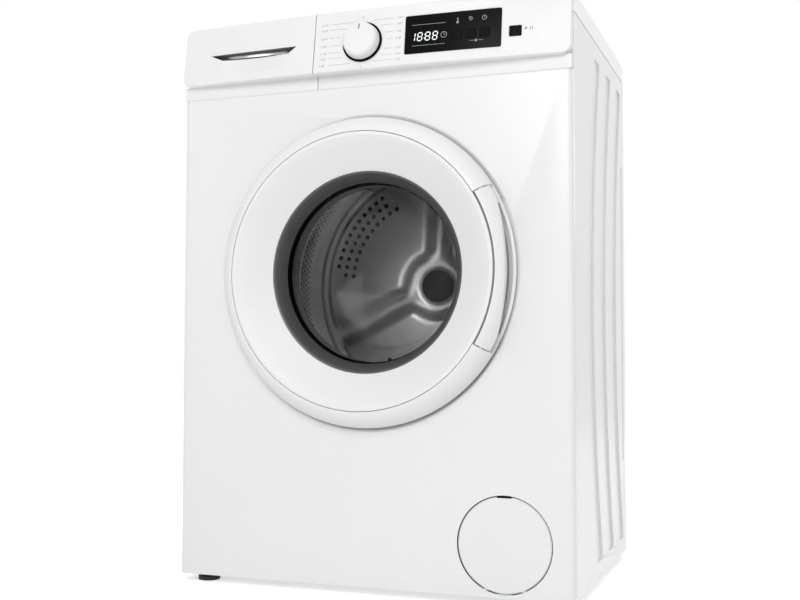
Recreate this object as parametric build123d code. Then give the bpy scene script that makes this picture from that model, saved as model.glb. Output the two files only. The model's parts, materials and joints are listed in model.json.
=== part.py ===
from build123d import *
import os
from math import asin, atan, atan2, cos, degrees, radians, sin, sqrt, tan

# Front load washing machine. Millimetres, +Z up, the door faces -Y, +X to the viewer's right.
# While modelling, y is measured back from the front sheet (called f below). At the end every piece
# is moved by FRONT_Y, so that the origin is at the bottom centre of the whole machine.

# Cabinet
CAB_W = 600.0
CAB_H = 840.0
CAB_D = 440.0
SHEET = 1.2
BODY_BOTTOM = 12.0
CORNER_R = 9.0
FRONT_RETURN = 11.0
FOLD = 16.0
SEAM = 0.6
WORKTOP_H = 32.0
WORKTOP_EDGE = 3.0
REAR_REACH = 12.0
PAST = 1.0

# Pressed ribs in the side panels
RIB_COUNT = 3
RIB_WIDTH = 48.0
RIB_DEPTH = 3.5
RIB_BOW = 64.0
RIB_SPARE = 140.0
RIB_LAST_INSET = 75.0
RIB_END_MARGIN = 25.0
RIB_CORNER_R = 9.0
GROOVE_INSET = 28.0
GROOVE_WIDTH = 10.0
GROOVE_CORNER_R = 3.0
GROOVE_MARGIN = 151.0

# Control panel: a leaning face, bowed forwards in plan, over a flat strip
PANEL_H = 112.0
STRIP_H = 18.0
PANEL_INSET = 2.0
PANEL_DROP = 1.0
PANEL_PROUD = 22.0
PANEL_BOW = 12.0
PANEL_LEAN = 8.5
PANEL_WALL = 2.5
PANEL_TOE = 2.0
PANEL_LOW_CORNER = 14.0
PANEL_TOP_CORNER = 12.0
PANEL_CROWN = 5.0
STRIP_PROUD = 1.5
DRAWER_W = 222.0
DRAWER_SEAM_GAP = 1.2

# Knob, display and keys on the panel face
KNOB_X = 0.0
KNOB_DROP = 53.0
KNOB_R = 27.0
KNOB_H = 13.0
KNOB_TAPER = 2.0
KNOB_EDGE = 2.5
KNOB_SHAFT_R = 3.0
KNOB_RING_R = 30.0
KNOB_RING_T = 2.0
KNOB_RING_LIFT = 0.2
KNOB_GAP = 0.6
POINTER_W = 2.2
POINTER_L = 8.0
POINTER_DEEP = 0.8
DISPLAY_INSET = 166.0
DISPLAY_DROP = 49.5
DISPLAY_W = 139.0
DISPLAY_H = 57.0
DISPLAY_T = 3.0
DISPLAY_PROUD = 0.4
DISPLAY_CORNER = 2.5
OPTION_X = (6.5, 26.5, 46.5)
OPTION_UP = -5.5
OPTION_W = 14.0
OPTION_H = 13.5
OPTION_GAP = 0.35
OPTION_PROUD = 0.6
OPTION_DEEP = 14.0
START_INSET = 77.0
START_DROP = 57.0
START_W = 17.0
START_H = 15.0
START_GAP = 0.4
START_PROUD = 1.2
START_DEEP = 14.0
KEY_CORNER = 1.5
BOARD_OFFSET = 18.0
BOARD_T = 10.0
BOARD_W = 250.0
BOARD_H = 48.0
BOARD_KNOB_SIDE = 20.0
BOARD_DOWN = -14.0
BOARD_POST_R = 3.0
BOARD_POST_SPREAD = 40.0
LEDGE = 3.0
LEDGE_T = 2.0

# Detergent drawer and its housing
TRAY_INSET = 48.0
TRAY_RISE = 24.0
TRAY_W = 154.0
TRAY_H = 46.0
TRAY_D = 172.0
TRAY_WALL = 2.2
TRAY_SPLITS = (0.36, 0.68)
TRAY_SIDE_GAP = 1.2
RUNNER_GAP = 0.3
HOUSING_WALL = 2.5
HOUSING_START = 3.0
HOUSING_HEAD = 5.0
HOUSING_BEHIND = 10.0
GRIP_W = 147.0
GRIP_DROP = 57.5
GRIP_H = 9.5
GRIP_SLANT = 22.0
GRIP_SLANT_RIGHT = 13.2
GRIP_DEEP = 20.0
GRIP_UP = 12.0
GRIP_FLOOR = 20.0
GRIP_LIP = 4.0
GRIP_WALL = 2.5
SCOOP_R = 46.0
SCOOP_DEEP = 6.0

# Tub and drum: the tub fills the height between the base and the top bar, less the room for what hangs there
TUB_HEAD_ROOM = 65.5
TUB_FOOT_ROOM = 180.0
TUB_WALL = 4.0
TUB_FRONT = 80.0
TUB_BEHIND = 80.0
TUB_SPLIT = 120.0
TUB_MOUTH_STEP = 14.0
TUB_COLLAR = 14.0
TUB_BOUNCE = 8.0
HUB_R = 42.0
HUB_LIP = 2.0
DRUM_GAP = 25.0
DRUM_WALL = 1.5
DRUM_FRONT_GAP = 12.0
DRUM_BACK_GAP = 28.0
DRUM_MOUTH_STEP = 8.0
DRUM_LIP = 8.0
LIFTER_COUNT = 3
LIFTER_H = 42.0
LIFTER_W = 62.0
LIFTER_TOP_W = 22.0
LIFTER_SKIRT = 6.0
LIFTER_SLOPE = 12.6
LIFTER_MARGIN = 14.0
SPIDER_ARM_W = 34.0
SPIDER_TIP_W = 23.8
SPIDER_ARM_T = 10.0
SPIDER_HUB_R = 32.0
SPIDER_HUB_T = 17.0
SPIDER_INSET = 11.0
SHAFT_R = 15.0
SHAFT_END_R = 10.0
SHAFT_SEAT = 4.0
BEARING_R = 31.0
BEARING_T = 16.0
BEARING_GAP = 8.0
RUN_FIT = 0.05
SEAT_FIT = 0.02

# Drive and heater
PULLEY_R = 135.0
PULLEY_T = 12.0
PULLEY_GAP = 2.0
PULLEY_RIM = 8.0
PULLEY_HUB_R = 24.0
PULLEY_SPOKES = 5
PULLEY_SPOKE_W = 18.0
PULLEY_SPOKE_T = 6.0
BELT_T = 3.0
BELT_GAP = 0.3
MOTOR_X = 60.0
MOTOR_GAP = 14.0
MOTOR_R = 62.0
MOTOR_AHEAD = 115.0
MOTOR_TAIL = 25.0
MOTOR_END_RIM = 10.0
MOTOR_END_DEEP = 8.0
MOTOR_SHAFT_R = 6.0
MOTOR_SHAFT_TIP = 2.0
MOTOR_PULLEY_R = 11.0
MOTOR_LUG_T = 12.0
MOTOR_LUG_W = 70.0
HEATER_R = 4.0
HEATER_SPAN = 50.0
HEATER_INSET = 14.0
HEATER_START = 50.0
HEATER_PLATE_T = 8.0

# Suspension, weights and hoses
SPRING_INSET = 17.0
SPRING_R = 14.0
SPRING_WIRE = 3.5
SPRING_SEAT_UP = 154.0
SPRING_LUG_H = 14.0
SPRING_LUG_W = 34.0
BAR_H = 22.0
BAR_W = 40.0
DAMPER_INSET = 87.0
DAMPER_PUMP_GAP = 13.0
DAMPER_R = 15.0
DAMPER_ROD_R = 7.0
DAMPER_GAP = 0.4
DAMPER_TOP_Z = 170.0
DAMPER_FOOT_H = 14.0
DAMPER_FOOT_T = 12.0
DAMPER_FLOOR = 10.0
DAMPER_LUG_DROP = 7.2
DAMPER_LUG_W = 28.0
DAMPER_ROD_TIP = 40.0
TOP_WEIGHT_DRAWER_GAP = 14.5
TOP_WEIGHT_SPRING_GAP = 31.0
TOP_WEIGHT_INSET = 30.0
TOP_WEIGHT_CLEAR = 13.0
TOP_WEIGHT_EDGE = 12.0
FRONT_WEIGHT_IN = 28.0
FRONT_WEIGHT_OUT = 12.0
FRONT_WEIGHT_T = 30.0
FRONT_WEIGHT_EDGE = 6.0
FRONT_WEIGHT_ANGLE = 140.0
FEED_F = 150.0
FEED_R = 18.0
SUMP_SIDE = 28.0
SUMP_F = 100.0
SUMP_R = 17.0
HOSE_T = 3.0
HOSE_GAP = 0.3
STUB_L = 16.0
STUB_WALL = 3.0

# Door: a ring that rises to a seam, then a funnel down to the glass
DOOR_UNDER = 40.0
DOOR_EDGE_F = -2.0
DOOR_EDGE_H = 3.0
DOOR_RISE = 35.0
DOOR_CREST = 4.0
DOOR_SEAM = 0.8
DOOR_WALL = 3.0
DOOR_BULGE = 4.0
RING_WIDTH = 25.0
FUNNEL_WIDTH = 52.0
FUNNEL_RIM = 5.0
FUNNEL_F = -5.0
RIM_WALL = 2.5
DISH_GAP = 6.0
DISH_DEPTH = 14.0
DISH_DRAFT = 14.0
DISH_ROLL = 2.6
DISH_ROLL_F = 1.1
MOUTH_INSET = 50.0
MOUTH_FLANGE = 12.0
BACK_RING_INSET = 17.0
BACK_RING_T = 4.0
CLAMP_INSET = 42.0
CLAMP_LAP = 6.0
CLAMP_T = 3.0
GLASS_SEAT = 5.0
GLASS_T = 5.0
GLASS_FLANGE_W = 18.0
GLASS_TAPER = 32.0
GLASS_ROUND = 16.0
GLASS_DEPTH = 114.0
GLASS_DOME = 3.0
GLASS_SHOULDER = 12.0

# Door handle, hinged on its own trunnions
HANDLE_HALF_ANGLE = 31.0
HANDLE_GAP = 3.0
HANDLE_END_GAP = 1.6
HANDLE_INSET = 10.0
HANDLE_OUTER_R = 330.0
HANDLE_BACK_F = -17.0
HANDLE_AXIS_INSET = 20.0
HANDLE_AXIS_F = -26.0
TRUNNION_R = 2.5
TRUNNION_L = 5.0
TRUNNION_SPARE = 0.5
KNUCKLE_WALL = 2.0
KNUCKLE_END = 3.0
CHEEK_ANGLE = 3.0
POCKET_FLOOR_T = 2.5
FINGER_WELL_ANGLE = 25.0
FINGER_WELL_RIM = 4.5
FINGER_WELL_W = 8.0
FINGER_WELL_F = 5.0
FINGER_WELL_WALL = 1.6

# Door hinge and latch
HINGE_INSET = 16.0
HINGE_F = -8.0
HINGE_PIN_R = 3.0
HINGE_BARREL_R = 4.2
HINGE_LUG_R = 5.5
HINGE_NECK_W = 8.0
HINGE_ARM_RUN = 16.0
HINGE_ARM_HALF = 13.0
HINGE_LUG_Z = 16.0
HINGE_LUG_T = 10.0
HINGE_PLATE_NEAR = 5.0
HINGE_PLATE_W = 22.5
HINGE_PLATE_T = 3.5
HINGE_PLATE_HALF = 45.0
HINGE_STRAP_NEAR = 29.0
HINGE_STRAP_W = 12.5
HINGE_STRAP_T = 3.0
HINGE_STRAP_HALF = 50.0
HINGE_NOTCH_W = 28.0
HINGE_CLEAR = 3.0
HOOK_INSET = 32.0
HOOK_F = 9.0
HOOK_HALF = 8.0
HOOK_BARREL_R = 4.0
HOOK_PIN_R = 2.0
HOOK_PIN_L = 3.5
HOOK_ARM_T = 4.0
HOOK_REACH = 18.0
HOOK_BARB = 5.0
HOOK_BARB_L = 6.0
HOOK_SLOT_IN = 8.0
HOOK_SLOT_OUT = 15.0
HOOK_SLOT_HALF = 12.0
LOCK_WALL = 2.0
LOCK_OUT = 24.0
LOCK_BELOW = 22.0
LOCK_ABOVE = 44.0
LOCK_DEPTH = 34.0
LOCK_POCKET = 18.0

# Door seal: how far its folds reach out of the mouth's radius
SEAL_T = 2.5
SEAL_LIP_GAP = 1.0
SEAL_FOLDS = (4.0, -20.0, 2.0)

# Pump, filter and flap
FLAP_INSET = 97.0
FLAP_Z = 83.0
FLAP_R = 65.5
FLAP_T = 2.5
FLAP_GAP = 1.4
FLAP_EDGE = 1.8
FLAP_NOTCH_W = 21.0
FLAP_NOTCH_H = 2.4
FLAP_AXIS_UP = 5.0
FLAP_AXIS_F = 1.8
FLAP_PIN_R = 0.9
FLAP_LUG_X = 33.0
FLAP_LUG_T = 3.0
FLAP_LUG_R = 2.2
FLAP_LUG_D = 6.0
PUMP_R = 45.0
PUMP_F = (44.0, 150.0)
PUMP_MOTOR_R = 34.0
PUMP_MOTOR_L = 42.0
PUMP_BORE_R = 30.0
PUMP_BORE_SPARE = 8.0
PUMP_FOOT_HALF = 31.5
PUMP_FOOT_INSET = 10.0
FILTER_R = 38.0
FILTER_T = 9.0
FILTER_GRIP_W = 10.0
FILTER_GRIP_H = 12.0
FILTER_GRIP_INSET = 6.0
FILTER_LENGTH = 55.0
FILTER_WALL = 4.0
FILTER_FLOOR = 6.0
FILTER_GAP = 0.3

# Base, feet and rear fittings
TRAY_FLANGE = 22.0
BASE_T = 2.0
BASE_GAP = 1.0
FOOT_INSET = 34.0
FOOT_F = 30.0
FOOT_R = 16.5
FOOT_PAD_H = 6.0
FOOT_NUT_R = 13.0
FOOT_STUD_R = 5.0
FOOT_STUD_L = 36.0
FOOT_BOSS_R = 12.0
FOOT_BOSS_H = 20.0
COVER_SIDE = 128.0
COVER_H = 400.0
COVER_BELOW = 58.0
COVER_STEP = 6.0
COVER_RIM = 22.0
COVER_CORNER = 30.0
INLET_INSET = 110.0
INLET_DROP = 82.0
INLET_R = 13.2
INLET_BORE = 9.0
INLET_BODY_W = 44.0
INLET_BODY_D = 52.0
INLET_COLLAR_R = 16.0
DRAIN_INSET = 95.0
DRAIN_DROP = 82.0
DRAIN_R = 10.0
DRAIN_BORE = 8.0
DRAIN_COLLAR_R = 12.5
DRAIN_FLANGE_R = 17.0
GLAND_INSET = 70.0
GLAND_Z = 150.0
GLAND_R = 11.0
GLAND_BORE = 4.5
GLAND_FLANGE_R = 15.0
GLAND_TAIL = 6.0
CAP_INSET = 78.0
CAP_SPREAD = 130.0
CAP_R = 18.0
CAP_PLUG_R = 14.0
CAP_T = 3.0
CAP_PLUG_L = 6.0
FITTING_T = 2.0
HOLE_GAP = 0.4

# Worked out: the cabinet and the control panel
HALF_W = CAB_W / 2
SIDE_TOP = CAB_H - WORKTOP_H
SIDE_F0 = FRONT_RETURN + SEAM
REAR_F = CAB_D - SHEET
RIB_PITCH = (CAB_D - RIB_SPARE) / RIB_COUNT
RIB_FIRST_F = CAB_D - RIB_LAST_INSET - (RIB_COUNT - 1) * RIB_PITCH
GROOVE_LENGTH = SIDE_TOP - BODY_BOTTOM - 2 * GROOVE_MARGIN
BASE_FLOOR_Z = BODY_BOTTOM + SHEET + SEAM + BASE_T
BAR_Z0 = SIDE_TOP - BAR_H - SEAM
PANEL_Z0 = CAB_H - PANEL_H
STEP_Z = PANEL_Z0 + STRIP_H
PANEL_TOP = CAB_H - PANEL_DROP
PANEL_BACK = FRONT_RETURN
PANEL_HALF = HALF_W - PANEL_INSET
BOW_R = (PANEL_HALF**2 + PANEL_BOW**2) / (2 * PANEL_BOW)
BOW_AXIS_F = BOW_R - PANEL_PROUD
BOW_ANGLE = degrees(asin((PANEL_HALF + PANEL_BOW) / BOW_R))
LEAN_SLOPE = tan(radians(PANEL_LEAN))
KNOB_Z = CAB_H - KNOB_DROP
KNOB_BASE = KNOB_RING_LIFT + KNOB_RING_T + KNOB_GAP
DISPLAY_X = HALF_W - DISPLAY_INSET
DISPLAY_Z = CAB_H - DISPLAY_DROP
START_X = HALF_W - START_INSET
START_Z = CAB_H - START_DROP
DRAWER_SEAM_X = DRAWER_W - PANEL_HALF
TRAY_X0 = TRAY_INSET - HALF_W
TRAY_Z0 = PANEL_Z0 + TRAY_RISE
GRIP_X0 = TRAY_X0
GRIP_Z = CAB_H - GRIP_DROP

# Worked out: the tub, the drum and the drive
TUB_R = (BAR_Z0 - BASE_FLOOR_Z - TUB_HEAD_ROOM - TUB_FOOT_ROOM) / 2
DOOR_Z = BAR_Z0 - TUB_HEAD_ROOM - TUB_R
TUB_F0 = TUB_FRONT
TUB_F1 = CAB_D - TUB_BEHIND
TUB_SPLIT_F = TUB_F0 + TUB_SPLIT
DRUM_R = TUB_R - DRUM_GAP
DRUM_F0 = TUB_F0 + DRUM_FRONT_GAP
DRUM_F1 = TUB_F1 - DRUM_BACK_GAP
HUB_F1 = TUB_F1 - TUB_WALL + 2 * BEARING_T + BEARING_GAP + HUB_LIP
PULLEY_F0 = HUB_F1 + PULLEY_GAP
PULLEY_F1 = PULLEY_F0 + PULLEY_T
MOTOR_Z = DOOR_Z - TUB_R - MOTOR_GAP - MOTOR_R
MOTOR_F0 = TUB_F1 - MOTOR_AHEAD
MOTOR_F1 = TUB_F1 + MOTOR_TAIL
HANG_F = (TUB_F0 + TUB_F1) / 2
SPRING_X = TUB_R - SPRING_INSET
SPRING_SEAT_Z = DOOR_Z + SPRING_SEAT_UP
DAMPER_X = TUB_R - DAMPER_INSET
DAMPER_F = PUMP_F[1] + PUMP_MOTOR_L + DAMPER_PUMP_GAP + DAMPER_R
DAMPER_LUG_Z = DOOR_Z - sqrt(TUB_R**2 - (DAMPER_X - DAMPER_LUG_W / 2)**2) - DAMPER_LUG_DROP
TOP_WEIGHT_Z = BAR_Z0 - TUB_BOUNCE - TOP_WEIGHT_CLEAR

# Worked out: the door
DOOR_R = TUB_R - DOOR_UNDER
SEAM_R = DOOR_R - RING_WIDTH
FUNNEL_R = SEAM_R - FUNNEL_WIDTH
DISH_R = DOOR_R + DISH_GAP
MOUTH_R = DOOR_R - MOUTH_INSET
TUB_MOUTH_R = MOUTH_R - TUB_MOUTH_STEP
DRUM_MOUTH_R = TUB_MOUTH_R - DRUM_MOUTH_STEP
BACK_RING_R = DOOR_R - BACK_RING_INSET
CLAMP_R = BACK_RING_R - CLAMP_INSET
GLASS_FLANGE_R = CLAMP_R - GLASS_SEAT
GLASS_CONE_R = GLASS_FLANGE_R - GLASS_FLANGE_W
GLASS_NOSE_R = GLASS_CONE_R - GLASS_TAPER
GLASS_SHOULDER_R = GLASS_NOSE_R - GLASS_ROUND
GLASS_SHOULDER_F = GLASS_DEPTH - GLASS_SHOULDER
HANDLE_REACH = DOOR_R - HANDLE_INSET
HANDLE_AXIS_X = SEAM_R - HANDLE_AXIS_INSET
HINGE_X = HINGE_INSET - DOOR_R
HINGE_PLATE_X0 = HINGE_X + HINGE_PLATE_NEAR
HINGE_PLATE_X1 = HINGE_PLATE_X0 + HINGE_PLATE_W
HINGE_STRAP_X0 = HINGE_X + HINGE_STRAP_NEAR
HINGE_STRAP_X1 = HINGE_STRAP_X0 + HINGE_STRAP_W
HOOK_X = DOOR_R - HOOK_INSET
HOOK_SLOT_X0 = HOOK_X - HOOK_SLOT_IN
HOOK_SLOT_X1 = HOOK_X + HOOK_SLOT_OUT

# Worked out: the fittings, and where the machine's middle lies
FLAP_X = HALF_W - FLAP_INSET
FLAP_AXIS_Z = FLAP_Z - FLAP_R + FLAP_AXIS_UP
SUMP_X = FLAP_X - SUMP_SIDE
FEED_X = TRAY_X0 + TRAY_W / 2
FOOT_X = HALF_W - FOOT_INSET
COVER_W = CAB_W - 2 * COVER_SIDE
COVER_Z = DOOR_Z - COVER_BELOW
INLET_X = INLET_INSET - HALF_W
INLET_Z = CAB_H - INLET_DROP
DRAIN_X = HALF_W - DRAIN_INSET
DRAIN_Z = CAB_H - DRAIN_DROP
GLAND_X = GLAND_INSET - HALF_W
CAP_X = HALF_W - CAP_INSET
FRONT_REACH = DOOR_RISE
FRONT_Y = FRONT_REACH - (FRONT_REACH + CAB_D + REAR_REACH) / 2
DOOR_AXIS = Axis((0, 0, DOOR_Z), (0, 1, 0))
BOW_AXIS = Axis((0, BOW_AXIS_F, 0), (0, 0, 1))


def box(x0, x1, f0, f1, z0, z1):
    """A block between two corners."""
    return Pos((x0 + x1) / 2, (f0 + f1) / 2, (z0 + z1) / 2) * Box(x1 - x0, f1 - f0, z1 - z0)


def rod_f(x, z, radius, f0, f1):
    """A round bar that runs front to back."""
    return Pos(x, (f0 + f1) / 2, z) * Rot(90, 0, 0) * Cylinder(radius, f1 - f0)


def rod_z(x, f, radius, z0, z1):
    """An upright round bar."""
    return Pos(x, f, (z0 + z1) / 2) * Cylinder(radius, z1 - z0)


def rod_x(f, z, radius, x0, x1):
    """A round bar that runs from side to side."""
    return Pos((x0 + x1) / 2, f, z) * Rot(0, 90, 0) * Cylinder(radius, x1 - x0)


def ring(profile, arc=360):
    """Turns a profile of (radius, f) points about the door and drum axis."""
    points = [(r, f, DOOR_Z) for r, f in profile]
    return revolve(make_face(Polyline(*points, close=True)), DOOR_AXIS, arc)


def plate_xz(points, f0, f1):
    """A flat outline of (x, z) points, thick from f0 to f1."""
    face = make_face(Polyline(*[(x, f0, z) for x, z in points], close=True))
    return extrude(face, amount=f1 - f0, dir=(0, 1, 0))


def plate_xf(points, z0, z1):
    """A flat outline of (x, f) points, thick from z0 to z1."""
    face = make_face(Polyline(*[(x, f, z0) for x, f in points], close=True))
    return extrude(face, amount=z1 - z0, dir=(0, 0, 1))


def mirrored(shape):
    """The same piece on the other side of the machine."""
    return shape.mirror(Plane.YZ)


def sector(half_angle, radius, f0, f1):
    """A wedge to the right of the door axis, for cutting the handle out of the ring."""
    rise = radius * tan(radians(half_angle))
    outline = [(0, DOOR_Z), (radius, DOOR_Z - rise), (radius, DOOR_Z + rise)]
    return plate_xz(outline, f0, f1)


# Cabinet shell


def front_panel():
    top = PANEL_Z0 - SEAM
    outline = Pos(0, FRONT_RETURN / 2) * Rectangle(CAB_W, FRONT_RETURN)
    outline = fillet(outline.vertices().group_by(Axis.Y)[0], CORNER_R)
    inner = Pos(0, FRONT_RETURN / 2 + SHEET) * Rectangle(CAB_W - 2 * SHEET, FRONT_RETURN)
    inner = fillet(inner.vertices().group_by(Axis.Y)[0], CORNER_R - SHEET)
    shell = Pos(0, 0, BODY_BOTTOM) * extrude(outline - inner, top - BODY_BOTTOM)
    fold_half = HALF_W - FOLD - SEAM
    for z in (BODY_BOTTOM, top - SHEET):
        shell += box(-fold_half, fold_half, SHEET / 2, FOLD, z, z + SHEET)
    shell -= rod_f(0, DOOR_Z, DISH_R + SHEET / 2, -PAST, FOLD / 2)
    floor_r = DISH_R - DISH_DRAFT
    back = DISH_DEPTH + MOUTH_FLANGE
    shell += ring([
        (DISH_R, 0), (DISH_R - DISH_ROLL, DISH_ROLL_F), (floor_r, DISH_DEPTH), (MOUTH_R, DISH_DEPTH),
        (MOUTH_R, back),
        (MOUTH_R + SHEET, back), (MOUTH_R + SHEET, DISH_DEPTH + SHEET),
        (floor_r + SHEET, DISH_DEPTH + SHEET), (DISH_R + SHEET, SHEET), (DISH_R + SHEET, 0),
    ])
    shell -= box(HOOK_SLOT_X0, HOOK_SLOT_X1, DISH_DEPTH - PAST, DISH_DEPTH + SHEET + PAST,
                 DOOR_Z - HOOK_SLOT_HALF, DOOR_Z + HOOK_SLOT_HALF)
    shell -= rod_f(FLAP_X, FLAP_Z, FLAP_R + FLAP_GAP, -PAST, SHEET + PAST)
    for side in (-1, 1):
        x0, x1 = sorted((FLAP_X + side * FLAP_LUG_X, FLAP_X + side * (FLAP_LUG_X + FLAP_LUG_T)))
        shell += box(x0, x1, SHEET / 2, FLAP_LUG_D, BODY_BOTTOM + SHEET / 2, FLAP_AXIS_Z + FLAP_LUG_R)
    reach = FLAP_LUG_X + FLAP_LUG_T + PAST
    return shell - rod_x(FLAP_AXIS_F, FLAP_AXIS_Z, FLAP_PIN_R + RUN_FIT, FLAP_X - reach, FLAP_X + reach)


def rib_outline(first_f):
    """One pressed rib: a band between two arcs that bow towards the front."""
    low = BODY_BOTTOM + RIB_END_MARGIN
    high = SIDE_TOP - RIB_END_MARGIN
    middle = (low + high) / 2
    last_f = first_f + RIB_WIDTH
    front = ThreePointArc((first_f, low), (first_f - RIB_BOW, middle), (first_f, high))
    rear = ThreePointArc((last_f, low), (last_f - RIB_BOW, middle), (last_f, high))
    ends = [Line((first_f, low), (last_f, low)), Line((first_f, high), (last_f, high))]
    return make_face([front, rear] + ends)


def side_panel():
    """The right side panel, in sheet, with three bowed ribs and a short straight groove."""
    inner = HALF_W - SHEET
    panel = box(inner, HALF_W, SIDE_F0, CAB_D, BODY_BOTTOM, SIDE_TOP)
    panel += box(HALF_W - FOLD, HALF_W, SIDE_F0, SIDE_F0 + SHEET, BODY_BOTTOM, SIDE_TOP)
    panel += box(HALF_W - FOLD, HALF_W, REAR_F - SEAM - SHEET, REAR_F - SEAM, BODY_BOTTOM, SIDE_TOP)
    panel += box(HALF_W - FOLD, HALF_W, SIDE_F0, REAR_F - SEAM, SIDE_TOP - SHEET, SIDE_TOP)
    ribs = [(rib_outline(RIB_FIRST_F + i * RIB_PITCH), RIB_CORNER_R) for i in range(RIB_COUNT)]
    middle = Pos(CAB_D - GROOVE_INSET, (BODY_BOTTOM + SIDE_TOP) / 2)
    ribs.append((middle * Rectangle(GROOVE_WIDTH, GROOVE_LENGTH), GROOVE_CORNER_R))
    outside = Plane(origin=(HALF_W, 0, 0), x_dir=(0, 1, 0), z_dir=(1, 0, 0))
    for outline, corner in ribs:
        wider = offset(outline, SHEET, kind=Kind.INTERSECTION)
        panel += outside * extrude(wider, -(RIB_DEPTH + SHEET))
        panel -= outside * extrude(fillet(outline.vertices(), corner), -RIB_DEPTH)
    return panel


def worktop():
    slab = box(-HALF_W, HALF_W, SIDE_F0, CAB_D, SIDE_TOP + SEAM, CAB_H)
    edges = slab.edges().filter_by(Axis.Z) + slab.edges().group_by(Axis.Z)[-1]
    return chamfer(edges.filter_by(lambda e: e.center().Y > SIDE_F0 + PAST), WORKTOP_EDGE)


def base_tray():
    half = HALF_W - SHEET - RIB_DEPTH - SHEET - BASE_GAP
    f0 = FOLD + BASE_GAP
    f1 = REAR_F - SEAM - SHEET - BASE_GAP
    z0 = BASE_FLOOR_Z - BASE_T
    top = z0 + TRAY_FLANGE
    tray = box(-half, half, f0, f1, z0, top)
    tray -= box(-half + BASE_T, half - BASE_T, f0 + BASE_T, f1 - BASE_T, BASE_FLOOR_Z, top + PAST)
    boss = FOOT_BOSS_R
    for x, f in foot_places():
        tray += box(x - boss, x + boss, f - boss, f + boss, z0, z0 + FOOT_BOSS_H)
        tray -= rod_z(x, f, FOOT_STUD_R + RUN_FIT, z0 - PAST, z0 + FOOT_BOSS_H + PAST)
    return tray


def foot_places():
    rear_f = CAB_D - FOOT_F
    return [(-FOOT_X, FOOT_F), (FOOT_X, FOOT_F), (-FOOT_X, rear_f), (FOOT_X, rear_f)]


def foot(x, f):
    pad = Pos(x, f, 0) * extrude(RegularPolygon(FOOT_R, 16), FOOT_PAD_H)
    nut_top = BODY_BOTTOM - SEAM
    nut = Pos(x, f, FOOT_PAD_H) * extrude(RegularPolygon(FOOT_NUT_R, 6), nut_top - FOOT_PAD_H)
    return pad + nut + rod_z(x, f, FOOT_STUD_R, 0, FOOT_STUD_L)


def rear_panel():
    half = HALF_W - SHEET - SEAM
    panel = box(-half, half, REAR_F, CAB_D, BODY_BOTTOM + SEAM, SIDE_TOP - SEAM)
    window = RectangleRounded(COVER_W - 2 * COVER_RIM, COVER_H - 2 * COVER_RIM, COVER_CORNER / 2)
    panel -= Pos(0, CAB_D + PAST, COVER_Z) * Rot(90, 0, 0) * extrude(window, 4 * SHEET)
    holes = [(INLET_X, INLET_Z, INLET_COLLAR_R), (DRAIN_X, DRAIN_Z, DRAIN_COLLAR_R)]
    holes.append((GLAND_X, GLAND_Z, GLAND_R))
    for x, z, radius in holes:
        panel -= rod_f(x, z, radius + HOLE_GAP, REAR_F - PAST, CAB_D + PAST)
    for x, z in cap_places():
        panel -= Pos(x, CAB_D + PAST, z) * cap_plug(CAP_PLUG_R + HOLE_GAP, 4 * SHEET)
    return panel


def rear_cover():
    def pan(width, height, corner, depth):
        outline = RectangleRounded(width, height, corner)
        return Pos(0, CAB_D, COVER_Z) * Rot(90, 0, 0) * extrude(outline, -depth)

    rim = COVER_W - 2 * COVER_RIM
    rise = COVER_H - 2 * COVER_RIM
    cover = pan(COVER_W, COVER_H, COVER_CORNER, SHEET)
    cover += pan(rim, rise, COVER_CORNER / 2, COVER_STEP)
    return cover - pan(rim - 2 * SHEET, rise - 2 * SHEET, COVER_CORNER / 2 - SHEET, COVER_STEP - SHEET)


def cross_bars():
    """Two channels across the top: a wide one that carries the springs, and a narrow one at the rear."""
    half = HALF_W - SHEET - SEAM
    rear_f1 = REAR_F - SEAM - SHEET - BASE_GAP
    spans = [(HANG_F - BAR_W / 2, HANG_F + BAR_W / 2), (rear_f1 - BAR_W / 2, rear_f1)]
    bars = []
    for f0, f1 in spans:
        bar = box(-half, half, f0, f1, BAR_Z0, SIDE_TOP - SHEET)
        bar -= box(-half - PAST, half + PAST, f0 + SHEET, f1 - SHEET, BAR_Z0 + SHEET, SIDE_TOP)
        bars.append(bar)
    return bars[0] + bars[1]


# Control panel


def face_f(x, z):
    """Where the leaning, bowed panel face lies at a place (x, z)."""
    radius = BOW_R - (z - STEP_Z) * LEAN_SLOPE
    return BOW_AXIS_F - sqrt(radius**2 - x**2)


def face_plane(x, z):
    """A plane on the panel face, with its normal pointing out of it."""
    yaw = asin(x / BOW_R)
    lean = radians(PANEL_LEAN)
    normal = (sin(yaw) * cos(lean), -cos(yaw) * cos(lean), sin(lean))
    return Plane(origin=(x, face_f(x, z), z), x_dir=(cos(yaw), sin(yaw), 0), z_dir=normal)


def bowed(profile):
    """Turns an upright (f, z) profile about the far axis that gives the panel its bow."""
    face = make_face(Polyline(*[(0, f, z) for f, z in profile], close=True))
    return revolve(face.rotate(BOW_AXIS, -BOW_ANGLE), BOW_AXIS, 2 * BOW_ANGLE)


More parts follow.
